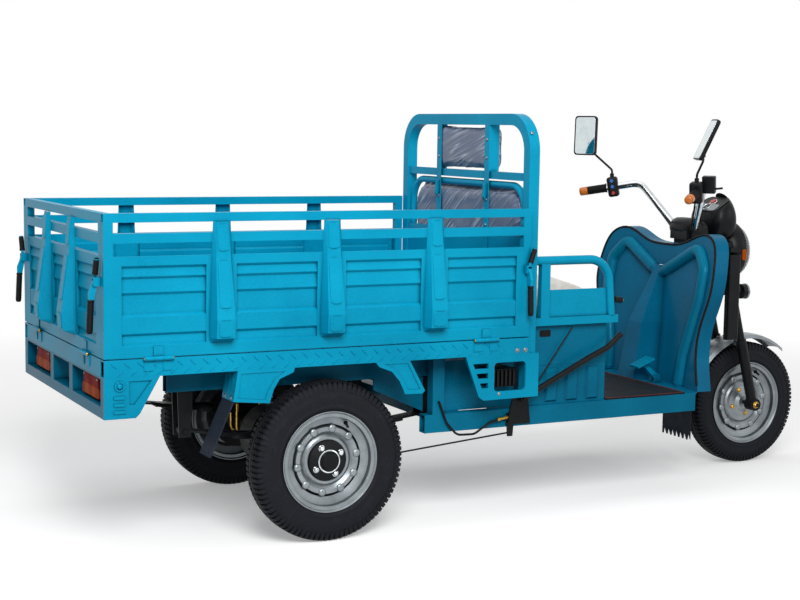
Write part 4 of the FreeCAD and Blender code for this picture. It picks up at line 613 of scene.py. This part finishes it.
def chaikin(points, times):
    """Closed outline with its corners cut a number of times."""
    for _ in range(times):
        cut = []
        for (a, b), (c, d) in zip(points, points[1:] + points[:1]):
            cut.append((a * 0.75 + c * 0.25, b * 0.75 + d * 0.25))
            cut.append((a * 0.25 + c * 0.75, b * 0.25 + d * 0.75))
        points = cut
    return points


def tyre_outline(radius, half):
    """Tyre section: tread base, shoulder, bulging wall with two moulded ribs, bead and the hollow inside."""
    seat = RIM_SEAT
    face = radius - 6
    wall = (radius + seat) / 2
    right = [(face, half * 0.30), (face - 1, half * 0.62), (face - 5, half * 0.82), (face - 18, half * 0.94),
             (wall + 12, half * 0.985), (wall + 8, half), (wall, half), (seat + 36, half * 0.955),
             (seat + 31, half * 0.985), (seat + 25, half * 0.96), (seat + 22, half * 0.89),
             (seat + 10, half * 0.83), (seat + 3, half * 0.80)]
    inner = [(seat + 3, half * 0.6), (seat + 26, half * 0.74), (face - 34, half * 0.78),
             (face - 16, half * 0.6), (face - 13, 0)]
    side = right + inner
    return side + [(r, -y) for r, y in reversed(side[:-1])]


def tread_pitch(radius, half, count):
    """One pitch of the tread at the top of a tyre: centre rib, two inner blocks and two shoulder lugs."""
    bm = bmesh.new()
    width = 2 * math.pi * radius / count
    base = radius - 7

    def block(outline, share, skew):
        """Block of an outline of (height, y) as long as a share of the pitch, slanted across."""
        rows = []
        for x in (-share * width, share * width):
            rows.append([bm.verts.new(Vector((x + skew * y, y, z)) / 1000) for z, y in outline])
        stacked(bm, rows)

    block([(base, -8), (radius, -7), (radius, 7), (base, 8)], 0.5, 0.0)
    for side in (-1, 1):
        edge = side * half
        inner = [(base, side * 11), (radius, side * 12), (radius - 0.5, side * 23), (base, side * 24)]
        lug = [(base, side * 27), (radius - 1, side * 28), (radius - 2.5, edge * 0.78),
               (radius - 9, edge * 0.93), (radius - 30, edge), (radius - 30, edge * 0.9),
               (radius - 12, edge * 0.8)]
        block(inner, 0.38, 0.3)
        block(lug, 0.31, 0.14)
    return outward_mesh(bm)


def tyres():
    """Moulded carcass and block tread of each tyre, sized from its solid."""
    pitches = 88
    turn = (0.0, 2 * math.pi / pitches, 0.0)
    for name, body in (("rear_tyre_right", "rear_wheel_right"), ("rear_tyre_left", "rear_wheel_left"),
                       ("front_tyre", "front_wheel")):
        low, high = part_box(name)
        radius = (high.z - low.z) * 500
        half = (high.y - low.y) * 500
        at = Matrix.Translation((low + high) / 2)
        carcass = turned(chaikin(tyre_outline(radius, half), 2), 96, ring=True)
        carcass.transform(at @ Matrix.Rotation(math.pi / 2, 4, "X"))
        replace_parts(piece(name + "_carcass", carcass, "tyre", body), name)
        tread = repeated(tread_pitch(radius, half, pitches), STEPS, "tyre", Count=pitches, Turn=turn)
        tread.transform(at)
        piece(name + "_tread", tread, "tyre", body)


def on_circle(centre, side, radius, count, first, out):
    """Spots evenly spaced on a circle about an axle, from a first angle in degrees, out from its middle."""
    x, y, z = centre
    spots = []
    for i in range(count):
        angle = math.radians(first + 360 * i / count)
        at = (x + radius * math.cos(angle), y + side * out, z + radius * math.sin(angle))
        spots.append((at, (0, side, 0)))
    return spots


def wheel_trim():
    """Domed nuts and a plain ring on the rear caps, and plated bolts on the front hub and axle."""
    ring = [(34.5, 31), (34.5, 34.4), (35.5, 34.8), (38.6, 33.6), (39, 32.6), (39, 30)]
    for name, centre, side, body in WHEELS[:2]:
        spots = on_circle(centre, side, radius=50, count=4, first=30, out=26.8)
        heads("wheel_nuts_" + name, domed_nut(), spots, 1.0, "chrome", body)
        turned_piece("cap_ring_" + name, ring, 64, centre, (0, side, 0), "chrome", body, ring=True)
    name, centre, side, body = WHEELS[2]
    spots = on_circle(centre, side, radius=52, count=4, first=20, out=18.6)
    heads("front_hub_bolts", hexagon_bolt(), spots, 0.75, "zinc", body)
    x, _, z = FRONT_WHEEL
    axle_end = 105
    spots = [((x, end * axle_end, z), (0, end, 0)) for end in (-1, 1)]
    heads("front_axle_nuts", hexagon_bolt(), spots, 1.1, "zinc", "fork_lower")


def rim_bosses():
    """Ten pressed bosses round each wheel disc."""
    boss = [(0, 0), (14, 0), (13.2, 2.4), (11, 4.6), (7, 5.8), (0, 6.2)]
    for name, centre, side, body in WHEELS:
        disc = 18.4 if name == "front" else 16.4
        spots = on_circle(centre, side, radius=107, count=10, first=9, out=disc)
        heads("rim_bosses_" + name, turned(boss, 18), spots, 1.0, "silver", body)


def valves():
    """Rubber valve stems with caps, leaning in from the rims' slopes."""
    reach, beside, lean = 138, 15, 0.35
    angle = math.radians(62)
    out = Vector((math.cos(angle), 0, math.sin(angle)))
    stem = [(0, 0), (8, 0), (7.5, 4), (4.6, 8), (4.2, 20), (3.6, 21), (3.6, 23), (4.4, 23.6), (4.4, 31),
            (3, 32.4), (0, 32.6)]
    for name, centre, side, body in WHEELS:
        at = Vector(centre) + out * reach + Vector((0, side * beside, 0))
        turned_piece("valve_" + name, stem, 14, at, Vector((0, side, 0)) - out * lean, "rubber", body)


def leaf_springs():
    """Both springs in front and rear halves, each cut across in steps; neither half rides on a body yet."""
    low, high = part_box("leaf_springs")
    middle = place(0, 0, 0).x
    for name, eye in (("front", high.x), ("rear", low.x)):
        bm = bmesh.new()
        bm.from_mesh(nodes["leaf_springs"].data)
        bmesh.ops.remove_doubles(bm, verts=bm.verts, dist=1e-6)
        for share in (0, 0.15, 0.3, 0.45, 0.6, 0.75, 0.9):
            cut = (middle + (eye - middle) * share, 0, 0)
            bmesh.ops.bisect_plane(bm, geom=bm.verts[:] + bm.edges[:] + bm.faces[:], plane_co=cut,
                                   plane_no=(eye - middle, 0, 0), clear_inner=share == 0)
        bmesh.ops.holes_fill(bm, edges=[edge for edge in bm.edges if edge.is_boundary])
        half = piece("leaf_springs_" + name, mesh_of(bm), "black", None)
        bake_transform(half)
        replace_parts(half, "leaf_springs")


# Cargo bed

def tread_bar(x, z, slant):
    """Raised bar of checker plate on a face that looks along -Y, pointed at both ends."""
    bm = bmesh.new()
    turn = Matrix.Rotation(math.radians(slant), 4, "Y")
    outline = [(-14, 0), (-7, 2.4), (7, 2.4), (14, 0), (7, -2.4), (-7, -2.4)]
    rings = []
    for y, long, wide in ((0.3, 1, 1), (-2.4, 0.82, 0.5)):
        points = [turn @ Vector((a * long, 0, b * wide)) + Vector((x, y, z)) for a, b in outline]
        rings.append([bm.verts.new(point / 1000) for point in points])
    stacked(bm, rings)
    return outward_mesh(bm)


def deck_edges():
    """Checker-plate bars along both deck edges, slanting one way above and the other way below."""
    pitch = 42
    first = BED_REAR + 30
    count = int((BED_FRONT - 80 - first) / pitch)
    last = first + (count - 0.5) * pitch
    middle = sum(DECK_EDGE) / 2
    for side, name in SIDES:
        pair = joined([tread_bar(0, 11, 42), tread_bar(pitch / 2, -13, -42)])
        bars = repeated(pair, STEPS, "blue", Count=count, Move=(pitch / 1000, 0.0, 0.0))
        if side > 0:
            bars.transform(Matrix.Rotation(math.pi, 4, "Z"))
        bars.transform(Matrix.Translation(place(first if side < 0 else last, side * HALF_BED, middle)))
        piece("deck_edge_tread_" + name, bars, "blue")


def stake_pads():
    """Wide pressed pads on the stakes, no higher than the ridges of the solid under them."""
    rise = PANEL_TOP - PANEL_BOTTOM - TOP_RAIL
    spans = [(rise * low + a, rise * high - b, wide) for low, a, high, b, wide in
             ((0.125, 6, 0.27, 6, 46), (0.27, 36, 0.72, 6, 40), (0.72, 26, 1.0, 9, 38))]
    beside, behind = HALF_BED + 200, BED_REAR - 240
    sides = [("side_panel_right", [(x, -beside) for x in SIDE_STAKE_X], (0, 1, 0), (1, 0, 0)),
             ("side_panel_left", [(x, beside) for x in SIDE_STAKE_X], (0, -1, 0), (-1, 0, 0)),
             ("tailgate", [(behind, y) for y in GATE_STAKE_Y], (1, 0, 0), (0, -1, 0))]
    for node, spots, inward, across in sides:
        skin = skin_of(node)
        plates = []
        for x, y in spots:
            for low, high, wide in spans:
                foot, top = (met(skin, (x, y, PANEL_BOTTOM + z), inward) * 1000 + Vector((MIDDLE_X, 0, 0))
                             for z in (low + 4, high - 4))
                up = top - foot
                out = Vector(across).cross(up.normalized())
                plates.append(plate((foot + top) / 2 - out * 3.3, across, up, (wide, up.length + 6), 5, 3.5))
        piece("stake_pads_" + node, joined(plates), "blue", node)


def hinge_pin_ends():
    """Peened yellow ends of the hinge pins, along the sides and the rear edge."""
    reach = HINGE_PIN_REACH - 0.4
    spots = []
    for end in (-1, 1):
        for side in (-1, 1):
            for x in SIDE_HINGE_X:
                at = (x + end * reach, side * (HALF_BED + HINGE_PIN_OUT), HINGE_PIN_Z)
                spots.append((at, (end, 0, 0)))
            at = (BED_REAR - HINGE_PIN_OUT, side * GATE_HINGE_Y + end * reach, HINGE_PIN_Z)
            spots.append((at, (0, end, 0)))
    heads("hinge_pin_ends", pan_screw(), spots, 0.55, "zinc")


def latch_sleeves():
    """Black rubber sleeves on the latches' hooks and on the levers' grips."""
    latches = []
    for side, name in SIDES:
        latches.append(("front_" + name, "side_panel_" + name, (723, side * 515), (22, 0), (0, side)))
        latches.append(("rear_" + name, "tailgate", (-775, side * 458), (0, side * 22), (-1, 0)))
    ribs = [(0, 0), (9.4, 0), (10.6, 2), (10.6, 6), (9.7, 8)]
    for i in range(9):
        at = 14 + i * 9
        ribs += [(9.7, at), (10.3, at + 1.5), (10.3, at + 4.5), (9.7, at + 6)]
    ribs += [(9.6, 98), (7.6, 102.4), (4, 103.8), (0, 104)]
    hook = ((0, 0.22), (9.6, 0.22), (9.8, 0.28), (8.9, 0.32), (8.7, 0.92), (7.4, 1.0), (4, 1.025), (0, 1.03))
    for name, panel, (x, y), lean, (out_x, out_y) in latches:
        rise = Vector((*lean, 62))
        cover = [(radius, rise.length * share) for radius, share in hook]
        turned_piece("latch_hook_sleeve_" + name, cover, 20, (x, y, LATCH_HOOK_Z), rise, "rubber", panel)
        top = (x + out_x * 12, y + out_y * 12, LATCH_GRIP_Z)
        down = (out_x * 5, out_y * 5, -100)
        turned_piece("latch_grip_sleeve_" + name, ribs, 20, top, down, "rubber", "latch_" + name)


def bed_fasteners():
    """Screws and studs on the deck edge, the skirts, the mudguard brackets and the headboard."""
    bolts = []
    studs = []
    screws = []
    deck_bolts = ((693, 601), (725, 601))
    rear_stud, skirt_screw = (-712, 562), (623, 454)
    bracket_x, bracket_y, bracket_z = -343.5, (473, 420), 499
    bar_y, bar_z = 180, (1318, 1252, 1103, 1012)
    arch_x, arch_y, arch_z, arch_bend = 752, 365, 1300, 110
    c, s = math.cos(math.radians(24)), math.sin(math.radians(24))
    for side in (-1, 1):
        edge, way = side * HALF_BED, (0, side, 0)
        bolts += [((x, edge, z), way) for x, z in deck_bolts]
        studs.append(((rear_stud[0], edge, rear_stud[1]), way))
        screws.append(((skirt_screw[0], edge, skirt_screw[1]), way))
        screws += [((bracket_x, side * y, bracket_z), (-1, 0, -0.15)) for y in bracket_y]
        screws += [((BED_FRONT, side * bar_y, z), (-1, 0, 0)) for z in bar_z]
        shoulder = (arch_x, side * (arch_y + arch_bend * c), arch_z + arch_bend * s)
        screws.append((shoulder, (0, side * c, s)))
    heads("deck_edge_bolts", hexagon_bolt(), bolts, 0.62, "bolt")
    heads("skirt_studs", domed_nut(), studs, 0.9, "blue")
    heads("bed_screws", pan_screw(), screws, 0.62, "bolt")


def tail_lamp_details():
    """Amber lower half of each tail lamp and the two screws that hold its lens."""
    amber = []
    screws = []
    for side in (-1, 1):
        y = side * TAIL_LAMP_Y
        amber.append(plate((-740, y, 523), (0, -1, 0), UP, (182, 34), 9, 6.5))
        screws += [((-745.2, y + shift, 566), (-1, 0, 0)) for shift in (-74, 74)]
    piece("tail_lamp_amber", joined(amber), "amber_lens")
    heads("tail_lamp_screws", pan_screw(), screws, 0.42, "bolt")


# Pads

PAD_VOXEL = 0.007
PAD_STEPS = 20
FOLD_HEIGHT = 0.0022


def swell(shown, cap):
    """Fill a pad by cloth pressure, with no point moved further than cap, in metres."""
    rest = [vertex.co.copy() for vertex in shown.data.vertices]
    cloth = shown.modifiers.new("stuffing", "CLOTH")
    cloth.settings.use_pressure = True
    cloth.settings.uniform_pressure_force = 4
    cloth.settings.effector_weights.gravity = 0
    cloth.point_cache.frame_start = 1
    cloth.point_cache.frame_end = PAD_STEPS
    for step in range(1, PAD_STEPS + 1):
        scene.frame_set(step)
    swollen = baked(shown)
    shown.modifiers.clear()
    scene.frame_set(1)
    for vertex, was in zip(swollen.vertices, rest):
        move = vertex.co - was
        vertex.co = was + move * min(1, cap / max(move.length, 1e-9))
    return swollen


def film_folds(mesh, axes, slant, spacing, seed):
    """Raise the film's folds: long slanting ridges over the two axes of a pad's face, also an attribute that
    places the painted highlight on them.
    """
    fold = mesh.attributes.new("fold", "FLOAT", "POINT")
    c, s = math.cos(math.radians(slant)), math.sin(math.radians(slant))
    heights = []
    for vertex in mesh.vertices:
        a, b = (vertex.co[i] * 1000 for i in axes)
        along, across = a * c + b * s, b * c - a * s
        wave = noise.noise(Vector((along / 260, across / spacing, seed)))
        patch = 0.5 + noise.noise(Vector((a / 130, b / 130, seed + 7)))
        heights.append(max(0.0, 1 - abs(wave) * 4) ** 2 * min(1.0, max(0.0, patch + 0.15)))
    moved = [v.co + v.normal * height * FOLD_HEIGHT for v, height in zip(mesh.vertices, heights)]
    for vertex, at, item, height in zip(mesh.vertices, moved, fold.data, heights):
        vertex.co = at
        item.value = height


def pad(node, finish, tuck, cap, axes, slant, spacing, seed, backing=None):
    """Cover of a pad: its solid drawn in by tuck, swollen no further than cap, with folded film.

    Tuck is (x, y, z) in millimetres, as cap is. Backing is a mesh of the stuffing behind the pad, which the
    cover takes in too.
    """
    bm = bmesh.new()
    bm.from_mesh(nodes[node].data)
    bmesh.ops.remove_doubles(bm, verts=bm.verts, dist=1e-5)
    low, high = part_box(node)
    middle = (low + high) / 2
    for vertex in bm.verts:
        vertex.co = [c - math.copysign(min(t / 1000, abs(c - m)), c - m)
                     for c, m, t in zip(vertex.co, middle, tuck)]
    if backing:
        bm.from_mesh(backing)
    shown = bpy.data.objects.new("pad", mesh_of(bm))
    scene.collection.objects.link(shown)
    even = shown.modifiers.new("even", "REMESH")
    even.mode = "VOXEL"
    even.voxel_size = PAD_VOXEL
    shown.data = baked(shown)
    shown.modifiers.clear()
    shown.data = swell(shown, cap / 1000)
    smooth = shown.modifiers.new("smooth", "SUBSURF")
    smooth.levels = smooth.render_levels = 1
    mesh = baked(shown)
    bpy.data.objects.remove(shown)
    film_folds(mesh, axes, slant, spacing, seed)
    cover = piece(node + "_cover", mesh, finish)
    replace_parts(cover, node)
    return cover


def welt(cover, at, normal, finish):
    """Piping sewn round a pad where a plane cuts its cover."""
    bm = bmesh.new()
    bm.from_mesh(cover.data)
    geometry = bm.verts[:] + bm.edges[:] + bm.faces[:]
    cut = bmesh.ops.bisect_plane(bm, geom=geometry, plane_co=at, plane_no=normal)["geom_cut"]
    edges = [item for item in cut if isinstance(item, bmesh.types.BMEdge)]
    corner = edges[0].verts[0]
    ahead = set(edges)
    line = []
    while ahead:
        follow = [edge for edge in corner.link_edges if edge in ahead]
        if not follow:
            break
        line.append(corner.co.copy())
        ahead.remove(follow[0])
        corner = follow[0].other_vert(corner)
    bm.free()
    piece(cover.name.replace("cover", "welt"), tube(line[::5], 2.6, cyclic=True), finish)


def pads():
    """Covers of the head pad, back pad and seat cushion, with piping round each."""
    across_up, across_ahead = (1, 2), (1, 0)
    left_up = (0, 1, 0), UP
    behind_head = plate((750, 0, 1287), *left_up, (372, 158), 12, 44)
    behind_back = plate((755, 0, 1036), *left_up, (786, 206), 62, 36)
    head = pad("head_pad", "vinyl", (4, 18, 4), 7, across_up, -17, 13, 1.7, behind_head)
    back = pad("back_pad", "vinyl", (5, 8, 5), 9, across_up, -38, 14, 4.2, behind_back)
    seat = pad("seat_cushion", "cream", (8, 8, 8), 14, across_ahead, 35, 30, 9.1)
    for cover in (head, back):
        low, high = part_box(cover.name.replace("_cover", ""))
        welt(cover, (low.x * 0.42 + high.x * 0.58, 0, 0), AHEAD, "vinyl")
    low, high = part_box("seat_cushion")
    welt(seat, (0, 0, low.z * 0.42 + high.z * 0.58), UP, "cream")


# Cab

def arm_stops():
    """Rubber stops with a pale bolt tip on the front posts of both armrests."""
    stop = [(0, 0), (13, 0), (13.4, 3), (11.4, 6), (11, 32), (9.6, 36), (0, 36.4)]
    tip = [(0, 34), (5, 34), (5, 40), (3.6, 43), (0, 43.6)]
    x, y, z = ARM_STOP
    for side, name in SIDES:
        at = (x, side * y, z)
        turned_piece("arm_stop_" + name, stop, 24, at, (1, 0, -0.12), "rubber")
        turned_piece("arm_stop_tip_" + name, tip, 16, at, (1, 0, -0.12), "bolt")


def seat_box_vents():
    """Small louvred vent on each side of the seat box."""
    x, y, z = SEAT_BOX_VENT
    for side, name in SIDES:
        across = (-side, 0, 0)
        parts = [plate((x, side * y, z), across, UP, (46, 24), 5, 3)]
        for rise in (-6, 0, 6):
            at = (x, side * (y + 2.8), z + rise)
            parts.append(plate(at, across, (0, 0.5 * side, 1), (38, 3.4), 1.4, 2.2))
        piece("seat_box_vent_" + name, joined(parts), "abs")


def splash_sheet():
    """Small sheet behind the sill that keeps spray off the battery box."""
    # Its darker blue is painted shade, as on the frame.
    piece("splash_sheet", plate((625, -352, 466), AHEAD, UP, (290, 176), 8, 2), "deep")


def cable_adjuster():
    """Brass adjuster with its lock nut where the parking brake's cable leaves the bracket."""
    screw = [(0, 0), (8, 0), (8, 8), (5, 8.6), (5, 30), (7, 30.6), (7, 40), (5, 42), (0, 42)]
    turned_piece("cable_adjuster", screw, 12, (712, -413, 351), (-1, 0, -0.1), "zinc")


def rib_highlights_on_shield():
    """Painted highlight on the raised tubular ribs: a lighter blue than the shield's, for the light that the
    ribs catch.
    """
    skin = skin_of("leg_shield")
    rib = 24
    loop = ((238, 390), (246, 500), (304, 720), (304, 838), (236, 912), (40, 811))
    for side, name in SIDES:
        line = []
        for at in rounded([place(0, side * y, z) for y, z in loop], 48):
            crest = met(skin, (BEFORE_SHIELD, at.y * 1000, at.z * 1000), AHEAD)
            line.append(crest + Vector((rib / 1000, 0, 0)))
        piece("shield_rib_" + name, tube(line, rib + 1.5), "deep")


def seen_from_seat(skin, angle, reach):
    """Where a line ahead from the seat meets the shield, at an angle and reach from the shield's middle."""
    y = SHIELD_MIDDLE[0] + reach * math.cos(angle)
    z = SHIELD_MIDDLE[1] + reach * math.sin(angle)
    return met(skin, (BEFORE_SHIELD, y, z), AHEAD)


def shield_trim():
    """Black rubber strip round the leg shield's edge, laid on its rear face."""
    skin = skin_of("leg_shield")
    inset = 3
    steps = 110
    line = []
    for step in range(steps + 1):
        angle = math.radians(-34.6 + 249.2 * step / steps)
        inside, outside = 150.0, 560.0
        while outside - inside > 0.2:
            reach = (inside + outside) / 2
            if seen_from_seat(skin, angle, reach):
                inside = reach
            else:
                outside = reach
        line.append(seen_from_seat(skin, angle, inside - inset))
    piece("shield_trim", tube(line, 4.6), "rubber")


def mat_border():
    """Red-brown edging moulded round the floor mat."""
    low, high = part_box("floor_mat")
    inset = 0.004
    near, far = low.x + inset, high.x - inset
    right, left = low.y + inset, high.y - inset
    corners = [Vector((x, y, high.z)) for x, y in ((near, right), (near, left), (far, left), (far, right))]
    piece("mat_border", tube(rounded(corners, 14, closed=True), 2.6, cyclic=True), "mat_edge")


# Steering

def mirrored(at, side):
    """A place or direction given for the left side, on the side asked for."""
    return Vector((at[0], side * at[1], at[2]))


def grips():
    """Ribbed rubber on both grips and an orange reflector on each end."""
    cap = [(0, -9.4), (11, -9), (15.4, -6), (17, -1), (17, 19), (17.8, 20), (17.8, 24), (16.8, 25), (0, 25)]
    ribs = [(0, 25), (16.4, 25)]
    for i in range(12):
        at = 27 + i * 6
        ribs += [(16.4, at), (17.5, at + 1.3), (17.5, at + 3.4), (16.4, at + 4.7)]
    ribs += [(16.4, 99), (19.4, 100), (19.4, 103), (16.4, 103.6), (0, 103.6)]
    for (side, name), body in zip(SIDES, ("throttle_grip", "steering")):
        end, run = mirrored(GRIP_END, side), mirrored(GRIP_RUN, side)
        turned_piece("grip_end_" + name, cap, 28, end, run, "orange_cap", body)
        turned_piece("grip_ribs_" + name, ribs, 32, end, run, "rubber", body)


def handlebar_plating():
    """Bright plated bar between the switch housings, and the moulded roll over its clamp."""
    corners = []
    for side in (-1, 1):
        inner = mirrored(GRIP_END, side) + mirrored(GRIP_RUN, side).normalized() * 125
        half = [inner, mirrored(BAR_BEND, side), mirrored(BAR_CLAMP, side)]
        corners += half if side < 0 else reversed(half)
    line = rounded([place(*corner) for corner in corners], 60)
    piece("handlebar_plating", tube(line, 14), "chrome", "steering")
    end = [(40, 20), (38, 54), (33, 68), (22, 75), (0, 76)]
    roll = [(radius, -y) for radius, y in reversed(end)] + end
    turned_piece("bar_roll", roll, 40, (1776, 0, 976), (0, 1, 0), "abs", "steering")


def instruments():
    """Silver instrument plate on the nacelle with one plain gauge, and a bezel round the red switch."""
    tilt = math.radians(INSTRUMENT_TILT)
    ahead = Vector((math.cos(tilt), 0, math.sin(tilt)))
    out = Vector((-math.sin(tilt), 0, math.cos(tilt)))
    left = Vector((0, 1, 0))
    foot = Vector(INSTRUMENT_LOW) + out * 3.8
    centre = foot + ahead * GAUGE_AHEAD
    piece("instrument_plate", plate(centre, left, -ahead, (120, 44), 14, 3), "silver", "steering")
    face = centre + out * 2.9
    bezel = [(17.6, 0), (21, 0), (21, 3.2), (20, 4.4), (18.4, 4.4), (17.6, 3)]
    turned_piece("gauge_bezel", bezel, 40, face, out, "chrome", "steering", ring=True)
    dial = [(0, 0), (17.8, 0), (17.8, 1.2), (0, 1.2)]
    turned_piece("gauge_dial", dial, 40, face, out, "abs", "steering")
    print_face = face + out * 1.1
    marks = []
    for i in range(11):
        angle = math.radians(-120 + 24 * i)
        spoke = ahead * math.cos(angle) + left * math.sin(angle)
        marks.append(plate(print_face + spoke * 14.4, spoke, out.cross(spoke), (3.6, 1.0), 0.4, 0.5))
    needle = ahead * math.cos(NEEDLE_ANGLE) + left * math.sin(NEEDLE_ANGLE)
    marks.append(plate(print_face + needle * 5, needle, out.cross(needle), (13, 1.2), 0.5, 1.1))
    piece("gauge_marks", joined(marks), "white_ink", "steering")
    collar = [(13.2, 0), (17.5, 0), (17.5, 2.4), (16.2, 3.6), (14, 3.6), (13.2, 2.6)]
    turned_piece("switch_bezel", collar, 36, foot + ahead * SWITCH_AHEAD, out, "chrome", "steering",
                 ring=True)


def headlamp():
    """Reflector bowl and bulb seen through the lens, amber side markers and the horn's plated ring."""
    bowl = [(0, 3), (16, 3), (40, 7), (70, 15), (84, 23), (86, 23), (72, 12), (42, 3.4), (16, 1), (0, 1)]
    turned_piece("headlamp_reflector", bowl, 48, HEADLAMP, AHEAD, "chrome", "steering")
    bulb = [(0, 3), (9, 3), (9, 9), (6, 11), (6, 21), (4, 26), (0, 27.5)]
    turned_piece("headlamp_bulb", bulb, 20, HEADLAMP, AHEAD, "bolt", "steering")
    markers = [plate((1992, side * 97, 868), (-side, 0, 0), UP, (20, 44), 6, 7) for side in (-1, 1)]
    piece("side_markers", joined(markers), "amber_lens", "steering")
    ring = [(26, 24), (30.4, 20), (31.4, 22), (31.4, 27), (29.6, 29), (26.4, 29)]
    turned_piece("horn_ring", ring, 40, HORN, AHEAD, "bolt", "steering", ring=True)


def mirror_glass():
    """Silvered glass on the rider's side of each mirror."""
    for name, centre in MIRROR_CENTRE.items():
        yaw, pitch = (math.radians(v) for v in MIRROR_YAW_PITCH[name])
        turn = Matrix.Rotation(yaw, 3, "Z") @ Matrix.Rotation(pitch, 3, "Y")
        at = Vector(centre) + turn @ Vector((-MIRROR_DEPTH / 2 + 0.4, 0, 0))
        glass = plate(at, turn @ Vector((0, -1, 0)), turn @ Vector(UP), (93, 151), 12, 1.2)
        piece("mirror_glass_" + name, glass, "mirror", "mirror_" + name)


# Studio

def camera():
    """Camera solved from the photograph: a long lens behind and to the right of the tricycle."""
    lens = bpy.data.cameras.new("photo_camera")
    lens.sensor_width = SENSOR_WIDTH
    lens.lens = FOCAL_PIXELS / PHOTO_WIDTH * SENSOR_WIDTH
    lens.clip_end = 200
    yaw, pitch, roll = (math.radians(v) for v in CAMERA_YAW_PITCH_ROLL)
    turn = Matrix.Rotation(-yaw, 4, "Z") @ Matrix.Rotation(math.pi / 2 - pitch, 4, "X")
    eye = bpy.data.objects.new("photo_camera", lens)
    eye.matrix_world = Matrix.Translation(place(*CAMERA_PLACE)) @ turn @ Matrix.Rotation(roll, 4, "Z")
    scene.collection.objects.link(eye)
    scene.camera = eye


def lamp(name, at, aim, size, power, spread=180):
    """Rectangular soft light at a point of the frame, aimed at another."""
    light = bpy.data.lights.new(name, "AREA")
    light.shape = "RECTANGLE"
    light.size, light.size_y = size
    light.energy = power
    light.spread = math.radians(spread)
    shown = bpy.data.objects.new(name, light)
    shown.location = at
    shown.rotation_euler = (Vector(aim) - Vector(at)).to_track_quat("-Z", "Y").to_euler()
    scene.collection.objects.link(shown)


def see_white(tree):
    """One where the camera, a mirror-like surface or glass looks, zero for plain light."""
    path = add(tree, "ShaderNodeLightPath").outputs
    first = add(tree, "ShaderNodeMath", [(0, path["Is Camera Ray"]), (1, path["Is Glossy Ray"])],
                operation="MAXIMUM")
    both = add(tree, "ShaderNodeMath", [(0, first.outputs[0]), (1, path["Is Transmission Ray"])],
               operation="MAXIMUM")
    return both.outputs[0]


def floor():
    """Pale floor, greyer for the light it gives back, which fades into the white far off."""
    white = linear("#ffffff")
    bm = bmesh.new()
    bmesh.ops.create_grid(bm, x_segments=2, y_segments=2, size=40)
    shown = bpy.data.objects.new("studio_floor", mesh_of(bm, "studio_floor"))
    scene.collection.objects.link(shown)
    made, tree, shader = material("pale_floor", Roughness=0.9, Specular_IOR_Level=0.05, Emission_Color=white)
    seen = see_white(tree)
    tone = add(tree, "ShaderNodeMix", [("Factor", seen)], data_type="RGBA")
    tone.inputs[6].default_value = linear("#5c5c5c")
    tone.inputs[7].default_value = white
    tree.links.new(tone.outputs[2], shader.inputs["Base Color"])
    add(tree, "ShaderNodeMapRange", [("Value", seen)], to=shader.inputs["Emission Strength"], To_Max=0.3)
    xyz = add(tree, "ShaderNodeTexCoord").outputs["Object"]
    away = add(tree, "ShaderNodeVectorMath", [(0, xyz)], operation="LENGTH")
    far = add(tree, "ShaderNodeMapRange", [("Value", away.outputs["Value"])], From_Min=2.2, From_Max=5.0)
    glow = add(tree, "ShaderNodeEmission", Color=white, Strength=1.0)
    add(tree, "ShaderNodeMixShader", [(0, far.outputs[0]), (1, shader.outputs[0]), (2, glow.outputs[0])],
        to=tree.nodes["Material Output"].inputs["Surface"])
    shown.data.materials.append(made)


def studio():
    """White surroundings, the floor and three soft lamps; the surroundings light the object more dimly."""
    world = bpy.data.worlds.new("studio")
    scene.world = world
    world.use_nodes = True
    tree = world.node_tree
    back = tree.nodes["Background"]
    back.inputs["Color"].default_value = linear("#ffffff")
    add(tree, "ShaderNodeMapRange", [("Value", see_white(tree))], to=back.inputs["Strength"], To_Min=0.26,
        To_Max=1.0)
    floor()
    lamp("key_softbox", (-2.0, -4.2, 3.4), (-0.9, -0.5, 0.9), (2.4, 2.4), 66, 90)
    lamp("fill_softbox", (5.0, -5.0, 3.2), (0.3, 0, 0.6), (3.0, 3.0), 40)
    lamp("top_softbox", (-0.2, 0.3, 5.2), (-0.2, 0, 0.5), (5.0, 3.0), 60)
    scene.view_settings.view_transform = "Standard"


camera()
dress_frame()
tyres()
wheel_trim()
rim_bosses()
valves()
leaf_springs()
deck_edges()
stake_pads()
hinge_pin_ends()
latch_sleeves()
bed_fasteners()
tail_lamp_details()
pads()
arm_stops()
seat_box_vents()
splash_sheet()
cable_adjuster()
rib_highlights_on_shield()
shield_trim()
mat_border()
grips()
handlebar_plating()
instruments()
headlamp()
mirror_glass()
studio()
